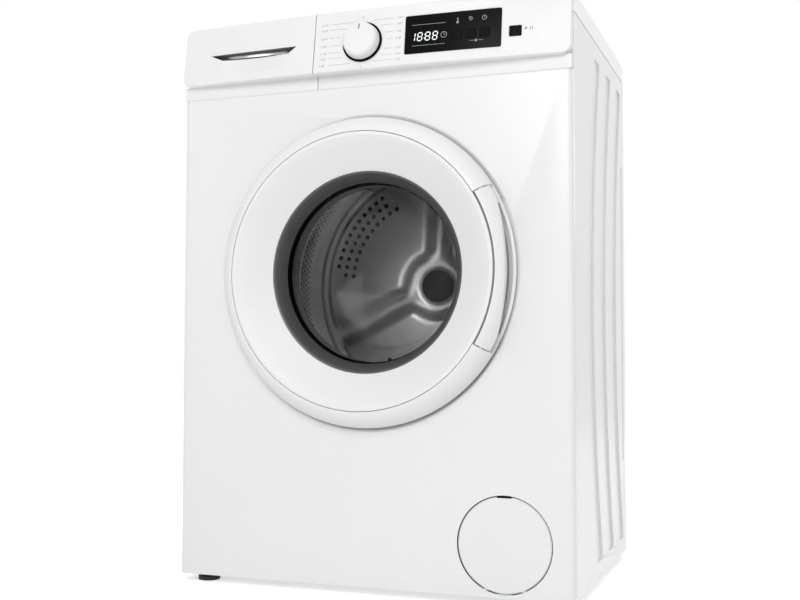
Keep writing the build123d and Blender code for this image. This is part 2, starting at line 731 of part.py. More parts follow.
def fascia_block(x0, x1, inset):
    """The solid block of the leaning face between two x places, shrunk by a wall."""
    def face_at(z):
        return (z - STEP_Z) * LEAN_SLOPE - PANEL_PROUD + inset

    low = STEP_Z + inset
    high = PANEL_TOP - inset
    toe_z = low + PANEL_TOE
    crown_z = high - PANEL_CROWN
    depth = PANEL_BACK + PANEL_BOW + 2 * PANEL_PROUD
    profile = [
        (depth, low), (face_at(low) + PANEL_TOE, low), (face_at(toe_z), toe_z), (face_at(crown_z), crown_z),
        (face_at(crown_z) + PANEL_CROWN * 0.4, high - PANEL_CROWN * 0.25),
        (face_at(crown_z) + PANEL_CROWN * 1.2, high), (depth, high),
    ]
    block = bowed(profile) & box(x0, x1, -3 * PANEL_PROUD, PANEL_BACK + inset, low, high)
    for x, end in ((x0, -PANEL_HALF), (x1, PANEL_HALF)):
        if abs(x - end) <= PANEL_WALL:
            block = fillet(end_edges(block, x)[0], PANEL_LOW_CORNER - inset)
            block = fillet(end_edges(block, x)[-1], PANEL_TOP_CORNER - inset)
    return block


def end_edges(block, x):
    """The front to back edges at one end of a panel block, lowest first."""
    edges = block.edges().filter_by(Axis.Y)
    return edges.filter_by(lambda e: abs(e.center().X - x) < RUN_FIT).sort_by(Axis.Z)


def fascia(x0, x1):
    """One moulding of the panel: the leaning face, and the strip under it, both open at the back."""
    wall = PANEL_WALL
    shell = fascia_block(x0, x1, 0) - fascia_block(x0 + wall, x1 - wall, wall)
    strip = box(x0, x1, -STRIP_PROUD, PANEL_BACK, PANEL_Z0, STEP_Z + wall / 2)
    strip -= box(x0 + wall, x1 - wall, wall - STRIP_PROUD, PANEL_BACK + PAST, PANEL_Z0 + wall, STEP_Z)
    return shell + strip


def on_face(x, z, sketch, front, back):
    """A sketch on the panel face, thick from front (out of it) to back (into it)."""
    plane = face_plane(x, z)
    return plane * Pos(0, 0, -back) * extrude(sketch, back + front)


def key_sketch(gap=0.0):
    """The start key's outline."""
    return RectangleRounded(START_W + 2 * gap, START_H + 2 * gap, KEY_CORNER + gap)


def display_sketch(gap=0.0):
    return RectangleRounded(DISPLAY_W + 2 * gap, DISPLAY_H + 2 * gap, DISPLAY_CORNER + gap)


def option_sketch(index, gap=0.0):
    """The outline of one of the three keys in the display, about the display's middle."""
    return Pos(OPTION_X[index], OPTION_UP) * Rectangle(OPTION_W + 2 * gap, OPTION_H + 2 * gap)


def control_panel():
    panel = fascia(DRAWER_SEAM_X + DRAWER_SEAM_GAP / 2, PANEL_HALF)
    ledge = Rectangle(DISPLAY_W + 2 * LEDGE, DISPLAY_H + 2 * LEDGE)
    panel += on_face(DISPLAY_X, DISPLAY_Z, ledge, -PANEL_WALL / 2, ledge_back())
    panel -= on_face(DISPLAY_X, DISPLAY_Z, display_sketch(HOLE_GAP), 3 * DISPLAY_T, DISPLAY_T - DISPLAY_PROUD)
    for index in range(len(OPTION_X)):
        panel -= on_face(DISPLAY_X, DISPLAY_Z, option_sketch(index, OPTION_GAP), DISPLAY_T, 4 * DISPLAY_T)
    panel -= on_face(START_X, START_Z, key_sketch(START_GAP), START_DEEP, START_DEEP)
    return panel - on_face(KNOB_X, KNOB_Z, Circle(KNOB_SHAFT_R + RUN_FIT), BOARD_OFFSET, BOARD_OFFSET)


def knob_ring():
    plate = on_face(KNOB_X, KNOB_Z, Circle(KNOB_RING_R), KNOB_RING_LIFT + KNOB_RING_T, -KNOB_RING_LIFT)
    return plate - on_face(KNOB_X, KNOB_Z, Circle(KNOB_SHAFT_R + RUN_FIT), BOARD_OFFSET, BOARD_OFFSET)


def program_knob():
    base = KNOB_BASE
    edge = KNOB_H - KNOB_EDGE
    slope = KNOB_TAPER / KNOB_H
    face_r = KNOB_R - KNOB_TAPER - KNOB_EDGE
    points = [(0, base), (KNOB_R, base), (KNOB_R - slope * edge, base + edge), (face_r, base + KNOB_H),
              (0, base + KNOB_H)]
    cap = revolve(make_face(Polyline(*[(r, 0, h) for r, h in points], close=True)), Axis.Z)
    mark = extrude(Rectangle(POINTER_W, POINTER_L), KNOB_H)
    cap -= Pos(0, face_r - POINTER_L / 2, base + KNOB_H - POINTER_DEEP) * mark
    shaft = Cylinder(KNOB_SHAFT_R, BOARD_OFFSET + KNOB_EDGE)
    cap += Pos(0, 0, base + KNOB_EDGE / 2 - BOARD_OFFSET / 2) * shaft
    return face_plane(KNOB_X, KNOB_Z) * cap


def display_window():
    back = DISPLAY_T - DISPLAY_PROUD
    window = on_face(DISPLAY_X, DISPLAY_Z, display_sketch(), DISPLAY_PROUD, back)
    for index in range(len(OPTION_X)):
        window -= on_face(DISPLAY_X, DISPLAY_Z, option_sketch(index, OPTION_GAP), DISPLAY_T, 2 * DISPLAY_T)
    return window


def option_button(index):
    return on_face(DISPLAY_X, DISPLAY_Z, option_sketch(index), DISPLAY_PROUD + OPTION_PROUD, OPTION_DEEP)


def start_button():
    return on_face(START_X, START_Z, key_sketch(), START_PROUD, START_DEEP)


def control_board():
    """The board in its tray behind the panel, on posts that stand on the back of the display's ledge."""
    def sunk(sketch, front, back):
        return on_face(DISPLAY_X, DISPLAY_Z, sketch, -front, back)

    place = Pos(KNOB_X - BOARD_KNOB_SIDE + BOARD_W / 2 - DISPLAY_X, BOARD_DOWN)
    board = sunk(place * Rectangle(BOARD_W, BOARD_H), BOARD_OFFSET, BOARD_OFFSET + BOARD_T)
    pocket = place * Rectangle(BOARD_W - 2 * LEDGE, BOARD_H - 2 * LEDGE)
    board -= sunk(pocket, BOARD_OFFSET + BOARD_T / 2, BOARD_OFFSET + BOARD_T + PAST)
    post_y = DISPLAY_H / 2 - 2 * BOARD_POST_R
    for x in (-BOARD_POST_SPREAD, BOARD_POST_SPREAD):
        post = Pos(x, -post_y) * Rectangle(2 * BOARD_POST_R, 2 * BOARD_POST_R)
        board += sunk(post, ledge_back(), BOARD_OFFSET + BOARD_T / 4)
    return board - on_face(KNOB_X, KNOB_Z, Circle(2 * KNOB_SHAFT_R), 0, 3 * BOARD_OFFSET)


def ledge_back():
    """How far behind the panel face the display's ledge ends."""
    return DISPLAY_T - DISPLAY_PROUD + LEDGE_T


# Detergent drawer


def drawer_front():
    """The drawer's fascia, with a slot for the fingers, a pocket behind its lip and a scoop below it."""
    x1 = DRAWER_SEAM_X - DRAWER_SEAM_GAP / 2
    front = fascia(-PANEL_HALF, x1)
    grip_x = GRIP_X0 + GRIP_W / 2
    grip_x1 = GRIP_X0 + GRIP_W
    grip_top = GRIP_Z + GRIP_H
    pocket_top = grip_top + GRIP_UP
    block = box(GRIP_X0 - GRIP_WALL, grip_x1 + GRIP_WALL, -PANEL_PROUD, PANEL_BACK,
                GRIP_Z - GRIP_FLOOR, pocket_top + GRIP_WALL)
    front += block & fascia_block(-PANEL_HALF, x1, PANEL_WALL / 2)
    low_x0 = GRIP_X0 + GRIP_SLANT
    low_x1 = grip_x1 - GRIP_SLANT_RIGHT
    slot = [(GRIP_X0, grip_top), (grip_x1, grip_top), (low_x1, GRIP_Z), (low_x0, GRIP_Z)]
    deep_f = face_f(grip_x, GRIP_Z) + GRIP_DEEP
    front -= plate_xz(slot, -2 * PANEL_PROUD, deep_f)
    lip_f = max(face_f(x, pocket_top) for x in (GRIP_X0, grip_x1)) + GRIP_LIP
    front -= box(GRIP_X0 + PAST, grip_x1 - PAST, lip_f, deep_f, grip_top - PAST, pocket_top)
    below = box(GRIP_X0, grip_x1, -3 * PANEL_PROUD, deep_f, GRIP_Z - SCOOP_R, GRIP_Z + PAST)
    return front - (grip_scoop(low_x0, low_x1) & below)


def grip_scoop(x0, x1):
    """A spindle along the panel face: level with the face at its ends and deepest in its middle."""
    f0 = face_f(x0, GRIP_Z)
    f1 = face_f(x1, GRIP_Z)
    half = (x1 - x0) / 2
    end_r = SCOOP_R - SCOOP_DEEP
    side = Polyline((half, end_r), (half, 0), (-half, 0), (-half, end_r))
    belly = ThreePointArc((-half, end_r), (0, SCOOP_R), (half, end_r))
    spindle = revolve(make_face([belly, side]), Axis.X)
    lean = atan(LEAN_SLOPE)
    middle = Pos((x0 + x1) / 2, (f0 + f1) / 2 - end_r * cos(lean), GRIP_Z + end_r * sin(lean))
    return middle * Rot(0, 0, degrees(atan2(f1 - f0, x1 - x0))) * spindle


def drawer_tray():
    x1 = TRAY_X0 + TRAY_W
    f1 = PANEL_BACK + TRAY_D
    z1 = TRAY_Z0 + TRAY_H
    tray = box(TRAY_X0, x1, PANEL_BACK, f1, TRAY_Z0, z1)
    edges = [TRAY_X0] + [TRAY_X0 + TRAY_W * share for share in TRAY_SPLITS] + [x1]
    for left, right in zip(edges, edges[1:]):
        a = left + (TRAY_WALL if left == TRAY_X0 else TRAY_WALL / 2)
        b = right - (TRAY_WALL if right == x1 else TRAY_WALL / 2)
        tray -= box(a, b, PANEL_BACK + TRAY_WALL, f1 - TRAY_WALL, TRAY_Z0 + TRAY_WALL, z1 + PAST)
    return tray


def housing_box(grow):
    """The corners of the hollow that the drawer slides in, grown by the housing's wall."""
    x0 = TRAY_X0 - TRAY_SIDE_GAP - grow
    x1 = TRAY_X0 + TRAY_W + TRAY_SIDE_GAP + grow
    f0 = PANEL_BACK + HOUSING_START - (0 if grow else PAST)
    f1 = PANEL_BACK + TRAY_D + HOUSING_BEHIND + grow
    z0 = TRAY_Z0 - RUNNER_GAP - grow
    z1 = TRAY_Z0 + TRAY_H + HOUSING_HEAD + grow
    return x0, x1, f0, f1, z0, z1


def dispenser_housing():
    outer = housing_box(HOUSING_WALL)
    floor_z = outer[4]
    housing = box(*outer) - box(*housing_box(0))
    housing += rod_z(FEED_X, FEED_F, FEED_R, floor_z - STUB_L, floor_z + HOUSING_WALL / 2)
    bore = FEED_R - STUB_WALL
    return housing - rod_z(FEED_X, FEED_F, bore, floor_z - 2 * STUB_L, floor_z + 2 * HOUSING_WALL)


# Door


def ring_section(inset):
    """The outer slope of the door ring: a bulged run from the edge up to the seam."""
    edge = (DOOR_R - inset, DOOR_EDGE_F)
    foot_point = (DOOR_R - inset, DOOR_EDGE_F - DOOR_EDGE_H)
    crest = (SEAM_R + DOOR_CREST, inset - DOOR_RISE)
    middle_r = (foot_point[0] + crest[0]) / 2 + DOOR_BULGE
    middle_f = (foot_point[1] + crest[1]) / 2 - DOOR_BULGE
    return edge, foot_point, (middle_r, middle_f), crest


def full_ring():
    """The door ring as if it were solid: for the frame, the handle and the handle's cheeks."""
    inner = SEAM_R + DOOR_SEAM
    edge, foot_point, middle, crest = [(r, f, DOOR_Z) for r, f in ring_section(0)]
    rest = [crest, (inner, -DOOR_RISE, DOOR_Z), (inner, DOOR_EDGE_F, DOOR_Z), edge, foot_point]
    return revolve(make_face([ThreePointArc(foot_point, middle, crest), Polyline(*rest)]), DOOR_AXIS, 360)


def handle_sector(half_angle, f1=DISH_DEPTH):
    """The wedge of the door ring that the handle takes, from in front of the door back to f1."""
    return sector(half_angle, 2 * DOOR_R, -2 * DOOR_RISE, f1)


def hinge_notch():
    """The space in the door's back for the hinge lugs."""
    half = HINGE_LUG_Z + HINGE_LUG_T + HINGE_CLEAR
    return box(-BACK_RING_R - PAST, HINGE_X + HINGE_NOTCH_W, HINGE_F - HINGE_LUG_R, DISH_DEPTH,
               DOOR_Z - half, DOOR_Z + half)


def door_frame():
    """The hollow outer ring, cut away for the handle, with cheeks and a pocket floor where it sits."""
    inner = SEAM_R + DOOR_SEAM
    wall = inner + RIM_WALL
    solid = full_ring()
    edge, foot_point, middle, crest = ring_section(DOOR_WALL)
    frame = solid - ring([(edge[0], PAST), foot_point, middle, crest, (wall, crest[1]), (wall, PAST)])
    lip_f = DOOR_EDGE_F - DOOR_EDGE_H
    frame += ring([(inner, lip_f), (wall, lip_f), (wall, 0), (inner, 0)])
    opening = HANDLE_HALF_ANGLE + degrees(HANDLE_END_GAP / SEAM_R)
    frame -= handle_sector(opening)
    frame += (solid & handle_sector(opening + CHEEK_ANGLE)) - handle_sector(opening)
    floor_f = DOOR_EDGE_F - POCKET_FLOOR_T
    floor = ring([(inner, floor_f), (DOOR_R, floor_f), (DOOR_R, DOOR_EDGE_F), (BACK_RING_R, DOOR_EDGE_F),
                  (BACK_RING_R, 0), (inner, 0)])
    frame += floor & handle_sector(opening + CHEEK_ANGLE)
    frame += finger_well(FINGER_WELL_WALL) & handle_sector(FINGER_WELL_ANGLE)
    end_wall = degrees(FINGER_WELL_WALL / SEAM_R)
    frame -= finger_well(0) & handle_sector(FINGER_WELL_ANGLE - end_wall)
    bore_z = trunnion_z() + TRUNNION_SPARE
    frame -= rod_z(HANDLE_AXIS_X, HANDLE_AXIS_F, TRUNNION_R + RUN_FIT, DOOR_Z - bore_z, DOOR_Z + bore_z)
    return frame - hinge_notch()


def finger_well(wall):
    """The sunk track behind the handle for the fingertips, grown by its wall, all the way round."""
    outer = DOOR_R - FINGER_WELL_RIM + wall
    inner = DOOR_R - FINGER_WELL_RIM - FINGER_WELL_W - wall
    front = DOOR_EDGE_F - POCKET_FLOOR_T / 2 if wall else DOOR_EDGE_F - POCKET_FLOOR_T - PAST
    back = FINGER_WELL_F + wall
    return ring([(inner, front), (outer, front), (outer, back), (inner, back)])


def trunnion_z():
    """How far above and below the door's middle the handle's trunnions end."""
    return HANDLE_AXIS_X * tan(radians(HANDLE_HALF_ANGLE)) + TRUNNION_L


def door_handle():
    """The part of the ring that pulls out, with knuckles and trunnions on its hinge line."""
    core = rod_f(0, DOOR_Z, SEAM_R + HANDLE_GAP, -2 * DOOR_RISE, DISH_DEPTH)
    bar = full_ring() & handle_sector(HANDLE_HALF_ANGLE, HANDLE_BACK_F)
    bar &= rod_f(HANDLE_REACH - HANDLE_OUTER_R, DOOR_Z, HANDLE_OUTER_R, -2 * DOOR_RISE, DISH_DEPTH)
    pin_z = trunnion_z()
    knuckle_z = pin_z - TRUNNION_L - KNUCKLE_END
    pin = rod_z(HANDLE_AXIS_X, HANDLE_AXIS_F, TRUNNION_R, DOOR_Z - pin_z, DOOR_Z + pin_z)
    knuckle_r = TRUNNION_R + KNUCKLE_WALL
    knuckle = rod_z(HANDLE_AXIS_X, HANDLE_AXIS_F, knuckle_r, DOOR_Z - knuckle_z, DOOR_Z + knuckle_z)
    return bar - core + (pin + (knuckle & handle_sector(HANDLE_HALF_ANGLE)) - core)


def door_trim():
    """The funnel from the seam down to the glass."""
    rim = SEAM_R
    throat = FUNNEL_R + DOOR_WALL
    return ring([
        (rim, -DOOR_RISE), (rim, 0), (rim - RIM_WALL, 0), (rim - RIM_WALL, 2 * DOOR_WALL - DOOR_RISE),
        (throat, FUNNEL_F + DOOR_WALL), (throat, 0), (FUNNEL_R, 0), (FUNNEL_R, FUNNEL_F),
        (rim - FUNNEL_RIM, -DOOR_RISE),
    ]) - hinge_notch()


def door_glass():
    """The deep glass bowl, with a flat flange that the back ring clamps."""
    t = GLASS_T
    shoulder = GLASS_DEPTH - GLASS_DOME
    return ring([
        (0, GLASS_DEPTH), (GLASS_SHOULDER_R, shoulder), (GLASS_NOSE_R, GLASS_SHOULDER_F), (GLASS_CONE_R, t),
        (GLASS_FLANGE_R, t), (GLASS_FLANGE_R, 0), (GLASS_CONE_R - t, 0),
        (GLASS_NOSE_R - t, GLASS_SHOULDER_F - t),
        (GLASS_SHOULDER_R - t, shoulder - t), (0, GLASS_DEPTH - t),
    ])


def door_back_ring():
    """The ring behind the door that clamps the glass and carries the latch hook's ears."""
    seat = GLASS_FLANGE_R + SEAM
    lip = GLASS_CONE_R + CLAMP_LAP
    back = GLASS_T + CLAMP_T
    plate = ring([
        (BACK_RING_R, 0), (BACK_RING_R, BACK_RING_T), (CLAMP_R, BACK_RING_T), (CLAMP_R, back), (lip, back),
        (lip, GLASS_T), (seat, GLASS_T), (seat, 0),
    ])
    inner = HOOK_HALF + HOLE_GAP
    ear_f1 = HOOK_F + HOOK_BARREL_R - PAST
    for side in (-1, 1):
        z0, z1 = sorted((DOOR_Z + side * inner, DOOR_Z + side * (inner + HOOK_PIN_L)))
        plate += box(HOOK_X - HOOK_BARREL_R, HOOK_X + HOOK_BARREL_R, BACK_RING_T / 2, ear_f1, z0, z1)
    plate -= rod_z(HOOK_X, HOOK_F, HOOK_PIN_R + RUN_FIT, DOOR_Z - 2 * inner, DOOR_Z + 2 * inner)
    return plate - hinge_notch()


def hinge_lug_bands():
    low = (DOOR_Z - HINGE_LUG_Z - HINGE_LUG_T, DOOR_Z - HINGE_LUG_Z)
    high = (DOOR_Z + HINGE_LUG_Z, DOOR_Z + HINGE_LUG_Z + HINGE_LUG_T)
    return low, high


def hinge_bracket():
    """A plate on the dish floor with two goose-neck lugs that reach out to the hinge line."""
    plate_f = DISH_DEPTH - HINGE_PLATE_T
    half = HINGE_PLATE_HALF
    bracket = box(HINGE_PLATE_X0, HINGE_PLATE_X1, plate_f, DISH_DEPTH, DOOR_Z - half, DOOR_Z + half)
    neck = [(HINGE_X + HINGE_LUG_R * 0.5, HINGE_F + HINGE_LUG_R * 0.8),
            (HINGE_X + HINGE_LUG_R * 0.9, HINGE_F - HINGE_LUG_R * 0.35),
            (HINGE_PLATE_X1, plate_f + PAST), (HINGE_PLATE_X1 - HINGE_NECK_W, plate_f + PAST)]
    for z0, z1 in hinge_lug_bands():
        bracket += rod_z(HINGE_X, HINGE_F, HINGE_LUG_R, z0, z1) + plate_xf(neck, z0, z1)
    return bracket - rod_z(HINGE_X, HINGE_F, HINGE_PIN_R + RUN_FIT, DOOR_Z - half, DOOR_Z + half)


def hinge_arm():
    """The arm on the door's back, with its barrel and the pin that turns in the lugs."""
    z0 = DOOR_Z - HINGE_ARM_HALF
    z1 = DOOR_Z + HINGE_ARM_HALF
    pin_end = HINGE_LUG_Z + HINGE_LUG_T
    strap_f = BACK_RING_T + HINGE_STRAP_T
    arm = rod_z(HINGE_X, HINGE_F, HINGE_BARREL_R, z0, z1)
    arm += rod_z(HINGE_X, HINGE_F, HINGE_PIN_R, DOOR_Z - pin_end, DOOR_Z + pin_end)
    neck = [(HINGE_X + HINGE_BARREL_R * 0.25, HINGE_F + HINGE_BARREL_R * 0.95),
            (HINGE_X + HINGE_BARREL_R * 0.9, HINGE_F - HINGE_BARREL_R * 0.25),
            (HINGE_X + HINGE_ARM_RUN, BACK_RING_T), (HINGE_STRAP_X1, BACK_RING_T), (HINGE_STRAP_X1, strap_f),
            (HINGE_X + HINGE_ARM_RUN - HINGE_STRAP_T, strap_f)]
    arm += plate_xf(neck, z0, z1)
    half = HINGE_STRAP_HALF
    return arm + box(HINGE_STRAP_X0, HINGE_STRAP_X1, BACK_RING_T, strap_f, DOOR_Z - half, DOOR_Z + half)


def latch_hook():
    """The sprung hook on the door's back that the handle turns."""
    z0 = DOOR_Z - HOOK_HALF
    z1 = DOOR_Z + HOOK_HALF
    tip = HOOK_F + HOOK_REACH
    heel = tip - HOOK_BARB_L
    half = HOOK_ARM_T / 2
    barb = HOOK_X + half + HOOK_BARB
    outline = [(HOOK_X - half, HOOK_F), (HOOK_X - half, tip), (HOOK_X + half, tip), (barb, (tip + heel) / 2),
               (barb, heel), (HOOK_X + half, heel), (HOOK_X + half, HOOK_F)]
    pin_end = HOOK_HALF + HOLE_GAP + HOOK_PIN_L
    hook = rod_z(HOOK_X, HOOK_F, HOOK_BARREL_R, z0, z1) + plate_xf(outline, z0, z1)
    return hook + rod_z(HOOK_X, HOOK_F, HOOK_PIN_R, DOOR_Z - pin_end, DOOR_Z + pin_end)


def door_lock():
    """The lock behind the front sheet, with a pocket for the hook."""
    f0 = DISH_DEPTH + SHEET
    half = HOOK_SLOT_HALF
    lock = box(HOOK_SLOT_X0 - LOCK_WALL, HOOK_X + LOCK_OUT, f0, f0 + LOCK_DEPTH,
               DOOR_Z - LOCK_BELOW, DOOR_Z + LOCK_ABOVE)
    return lock - box(HOOK_SLOT_X0, HOOK_SLOT_X1, f0 - PAST, f0 + LOCK_POCKET, DOOR_Z - half, DOOR_Z + half)


def door_seal():
    """The rubber bellows between the mouth of the front panel and the tub, with a lip towards the glass."""
    t = SEAL_T
    f0 = DISH_DEPTH + PAST
    f1 = DISH_DEPTH + MOUTH_FLANGE + t
    grip_r = MOUTH_R - HOSE_GAP
    end_r = TUB_MOUTH_R + TUB_WALL + HOSE_GAP
    end_f0 = TUB_F0 - TUB_COLLAR + t
    end_f1 = TUB_F0 - HOSE_GAP
    span = (end_f0 - f1) / 4
    outer, fold, second = [MOUTH_R + reach for reach in SEAL_FOLDS]
    lip_f = f1 + 2 * span
    lip = GLASS_CONE_R - GLASS_TAPER * (lip_f - GLASS_T) / (GLASS_SHOULDER_F - GLASS_T) + SEAL_LIP_GAP + t
    return ring([
        (grip_r, f0), (grip_r, f1), (outer, f1 + span), (fold, lip_f), (second, lip_f + span),
        (end_r + t, end_f0),
        (end_r + t, end_f1), (end_r, end_f1), (end_r, end_f0 + t), (second - 2 * t, lip_f + span + t),
        (lip, lip_f + t), (lip, lip_f - t), (outer - 2 * t, f1 + span), (grip_r - t, f1), (grip_r - t, f0),
    ])


# Tub


def tub_bore():
    return rod_f(0, DOOR_Z, TUB_R - TUB_WALL, TUB_F0 + TUB_WALL, TUB_F1 - TUB_WALL)


def tub_front():
    t = TUB_WALL
    mouth = TUB_MOUTH_R
    collar_f = TUB_F0 - TUB_COLLAR
    shell = ring([
        (mouth, collar_f), (mouth + t, collar_f), (mouth + t, TUB_F0), (TUB_R, TUB_F0), (TUB_R, TUB_SPLIT_F),
        (TUB_R - t, TUB_SPLIT_F), (TUB_R - t, TUB_F0 + t), (mouth, TUB_F0 + t),
    ])
    feed_z = DOOR_Z + sqrt(TUB_R**2 - FEED_X**2)
    sump_z = DOOR_Z - sqrt(TUB_R**2 - SUMP_X**2)
    shell += rod_z(FEED_X, FEED_F, FEED_R, feed_z - FEED_R, feed_z + STUB_L) - tub_bore()
    shell += rod_z(SUMP_X, SUMP_F, SUMP_R, sump_z - STUB_L, sump_z + SUMP_R) - tub_bore()
    shell -= rod_z(FEED_X, FEED_F, FEED_R - STUB_WALL, DOOR_Z, DOOR_Z + TUB_R)
    return shell - rod_z(SUMP_X, SUMP_F, SUMP_R - STUB_WALL, DOOR_Z - TUB_R, DOOR_Z)


def tub_rear():
    """The rear half of the tub with the bearing hub, and lugs for the springs, the dampers and the motor."""
    t = TUB_WALL
    f0 = TUB_SPLIT_F
    bore = BEARING_R + SEAT_FIT
    shell = ring([
        (TUB_R, f0), (TUB_R, TUB_F1), (HUB_R, TUB_F1), (HUB_R, HUB_F1), (bore, HUB_F1), (bore, TUB_F1 - t),
        (TUB_R - t, TUB_F1 - t), (TUB_R - t, f0),
    ])
    half = SPRING_LUG_W / 2
    lugs = box(0, SPRING_X + half, HANG_F - half, HANG_F + half, SPRING_SEAT_Z - SPRING_LUG_H, SPRING_SEAT_Z)
    half = DAMPER_LUG_W / 2
    lugs += box(DAMPER_X - half, DAMPER_X + half, DAMPER_F - half, DAMPER_F + half, DAMPER_LUG_Z, DOOR_Z)
    lugs += mirrored(lugs)
    half = MOTOR_LUG_W / 2
    for lug_f in (MOTOR_F0 + MOTOR_LUG_T, TUB_F1 - 2 * MOTOR_LUG_T):
        lugs += box(MOTOR_X - half, MOTOR_X + half, lug_f, lug_f + MOTOR_LUG_T, MOTOR_Z + MOTOR_R / 2, DOOR_Z)
    lugs -= rod_f(0, DOOR_Z, TUB_R - t / 2, 0, CAB_D)
    shell += lugs - rod_f(MOTOR_X, MOTOR_Z, MOTOR_R + SEAT_FIT, 0, CAB_D)
    for x, z in heater_legs():
        shell -= rod_f(x, z, HEATER_R + HOLE_GAP, TUB_F1 - 2 * t, TUB_F1 + t)
    return shell


def heater_legs():
    half = HEATER_SPAN / 2
    z = DOOR_Z - sqrt((TUB_R - HEATER_INSET)**2 - half**2)
    return [(-half, z), (half, z)]


def heater():
    """A tube bent into a hairpin under the drum, with its terminal plate on the tub's back."""
    (x0, z), (x1, z) = heater_legs()
    tip_f = TUB_F0 + HEATER_START
    end_f = TUB_F1 + PAST
    tube = rod_f(x0, z, HEATER_R, tip_f, end_f) + rod_f(x1, z, HEATER_R, tip_f, end_f)
    tube += rod_x(tip_f + HEATER_R, z, HEATER_R, x0, x1)
    edge = 2 * HEATER_R
    return tube + box(x0 - edge, x1 + edge, TUB_F1, TUB_F1 + HEATER_PLATE_T, z - edge, z + edge)


def top_counterweight():
    x0 = housing_box(HOUSING_WALL)[1] + TOP_WEIGHT_DRAWER_GAP
    x1 = SPRING_X - SPRING_R - TOP_WEIGHT_SPRING_GAP
    block = box(x0, x1, TUB_F0 + TOP_WEIGHT_INSET, TUB_F1 - TOP_WEIGHT_INSET, DOOR_Z, TOP_WEIGHT_Z)
    block -= rod_f(0, DOOR_Z, TUB_R + SEAT_FIT, 0, CAB_D)
    return chamfer(block.edges().group_by(Axis.Z)[-1], TOP_WEIGHT_EDGE)


def front_counterweight():
    inner = TUB_MOUTH_R + FRONT_WEIGHT_IN
    outer = TUB_R - FRONT_WEIGHT_OUT
    edge = FRONT_WEIGHT_EDGE
    f0 = TUB_F0 - FRONT_WEIGHT_T
    profile = [(inner, f0 + edge), (inner + edge, f0), (outer - edge, f0), (outer, f0 + edge),
               (outer, TUB_F0), (inner, TUB_F0)]
    return ring(profile, FRONT_WEIGHT_ANGLE).rotate(DOOR_AXIS, 90 - FRONT_WEIGHT_ANGLE / 2)


def bearing_places():
    first = TUB_F1 - TUB_WALL + PAST
    return [first, first + BEARING_T + BEARING_GAP]


def drum_bearings():
    rings = [rod_f(0, DOOR_Z, BEARING_R, f, f + BEARING_T) for f in bearing_places()]
    bore = rod_f(0, DOOR_Z, SHAFT_R + RUN_FIT, TUB_F0, CAB_D)
    return (rings[0] + rings[1]) - bore


def drive_motor():
    body = rod_f(MOTOR_X, MOTOR_Z, MOTOR_R, MOTOR_F0, MOTOR_F1)
    body -= rod_f(MOTOR_X, MOTOR_Z, MOTOR_R - MOTOR_END_RIM, MOTOR_F0 - PAST, MOTOR_F0 + MOTOR_END_DEEP)
    return body + rod_f(MOTOR_X, MOTOR_Z, MOTOR_SHAFT_R, MOTOR_F1 - PAST, PULLEY_F1 + MOTOR_SHAFT_TIP)


def tangent_belt(inset):
    """The outline round both pulleys: two arcs and the two straight runs that touch them."""
    big = PULLEY_R + inset
    small = MOTOR_PULLEY_R + inset
    dx = MOTOR_X
    dz = MOTOR_Z - DOOR_Z
    reach = sqrt(dx**2 + dz**2)
    heading = atan2(dz, dx)
    spread = asin((big - small) / reach)
    half_pi = radians(90)
    sides = []
    for turn in (half_pi - spread, -(half_pi - spread)):
        a = heading + turn
        sides.append([(big * cos(a), DOOR_Z + big * sin(a)),
                      (dx + small * cos(a), DOOR_Z + dz + small * sin(a))])
    far_big = (-big * cos(heading), DOOR_Z - big * sin(heading))
    far_small = (dx + small * cos(heading), DOOR_Z + dz + small * sin(heading))
    (a0, a1), (b0, b1) = sides
    edges = [ThreePointArc(a0, far_big, b0), Line(b0, b1), ThreePointArc(b1, far_small, a1), Line(a1, a0)]
    return make_face(edges)


def drive_belt():
    band = tangent_belt(BELT_GAP + BELT_T) - tangent_belt(BELT_GAP)
    upright = Plane(origin=(0, PULLEY_F1, 0), x_dir=(1, 0, 0), z_dir=(0, -1, 0))
    return upright * extrude(band, PULLEY_T)


# Drum


def drum_shell():
    t = DRUM_WALL
    lip = DRUM_MOUTH_R
    return ring([
        (lip, DRUM_F0 + DRUM_LIP), (lip, DRUM_F0), (DRUM_R, DRUM_F0), (DRUM_R, DRUM_F1), (0, DRUM_F1),
        (0, DRUM_F1 - t), (DRUM_R - t, DRUM_F1 - t), (DRUM_R - t, DRUM_F0 + t), (lip + t, DRUM_F0 + t),
        (lip + t, DRUM_F0 + DRUM_LIP),
    ])


def drum_lifters():
    """Paddles on the inside of the drum wall, tapered in section and sloped at their ends."""
    wall_r = DRUM_R - DRUM_WALL
    f0 = DRUM_F0 + DRUM_WALL + LIFTER_MARGIN
    f1 = DRUM_F1 - DRUM_WALL - LIFTER_MARGIN
    half = LIFTER_W / 2
    top = LIFTER_TOP_W / 2
    crest_r = wall_r - LIFTER_H
    skirt_r = wall_r - LIFTER_SKIRT
    outline = [(DRUM_R, -half), (skirt_r, -half), (crest_r, -top), (crest_r, top), (skirt_r, half),
               (DRUM_R, half)]
    paddle = plate_xz([(x, DOOR_Z + z) for x, z in outline], f0, f1)
    paddle = chamfer(paddle.edges().filter_by(Axis.Z).group_by(Axis.X)[0], LIFTER_SLOPE)
    paddle &= rod_f(0, DOOR_Z, wall_r - SEAT_FIT, DRUM_F0, DRUM_F1)
    turn = 360 / LIFTER_COUNT
    group = [paddle.rotate(DOOR_AXIS, turn * i) for i in range(LIFTER_COUNT)]
    return group[0] + group[1:]


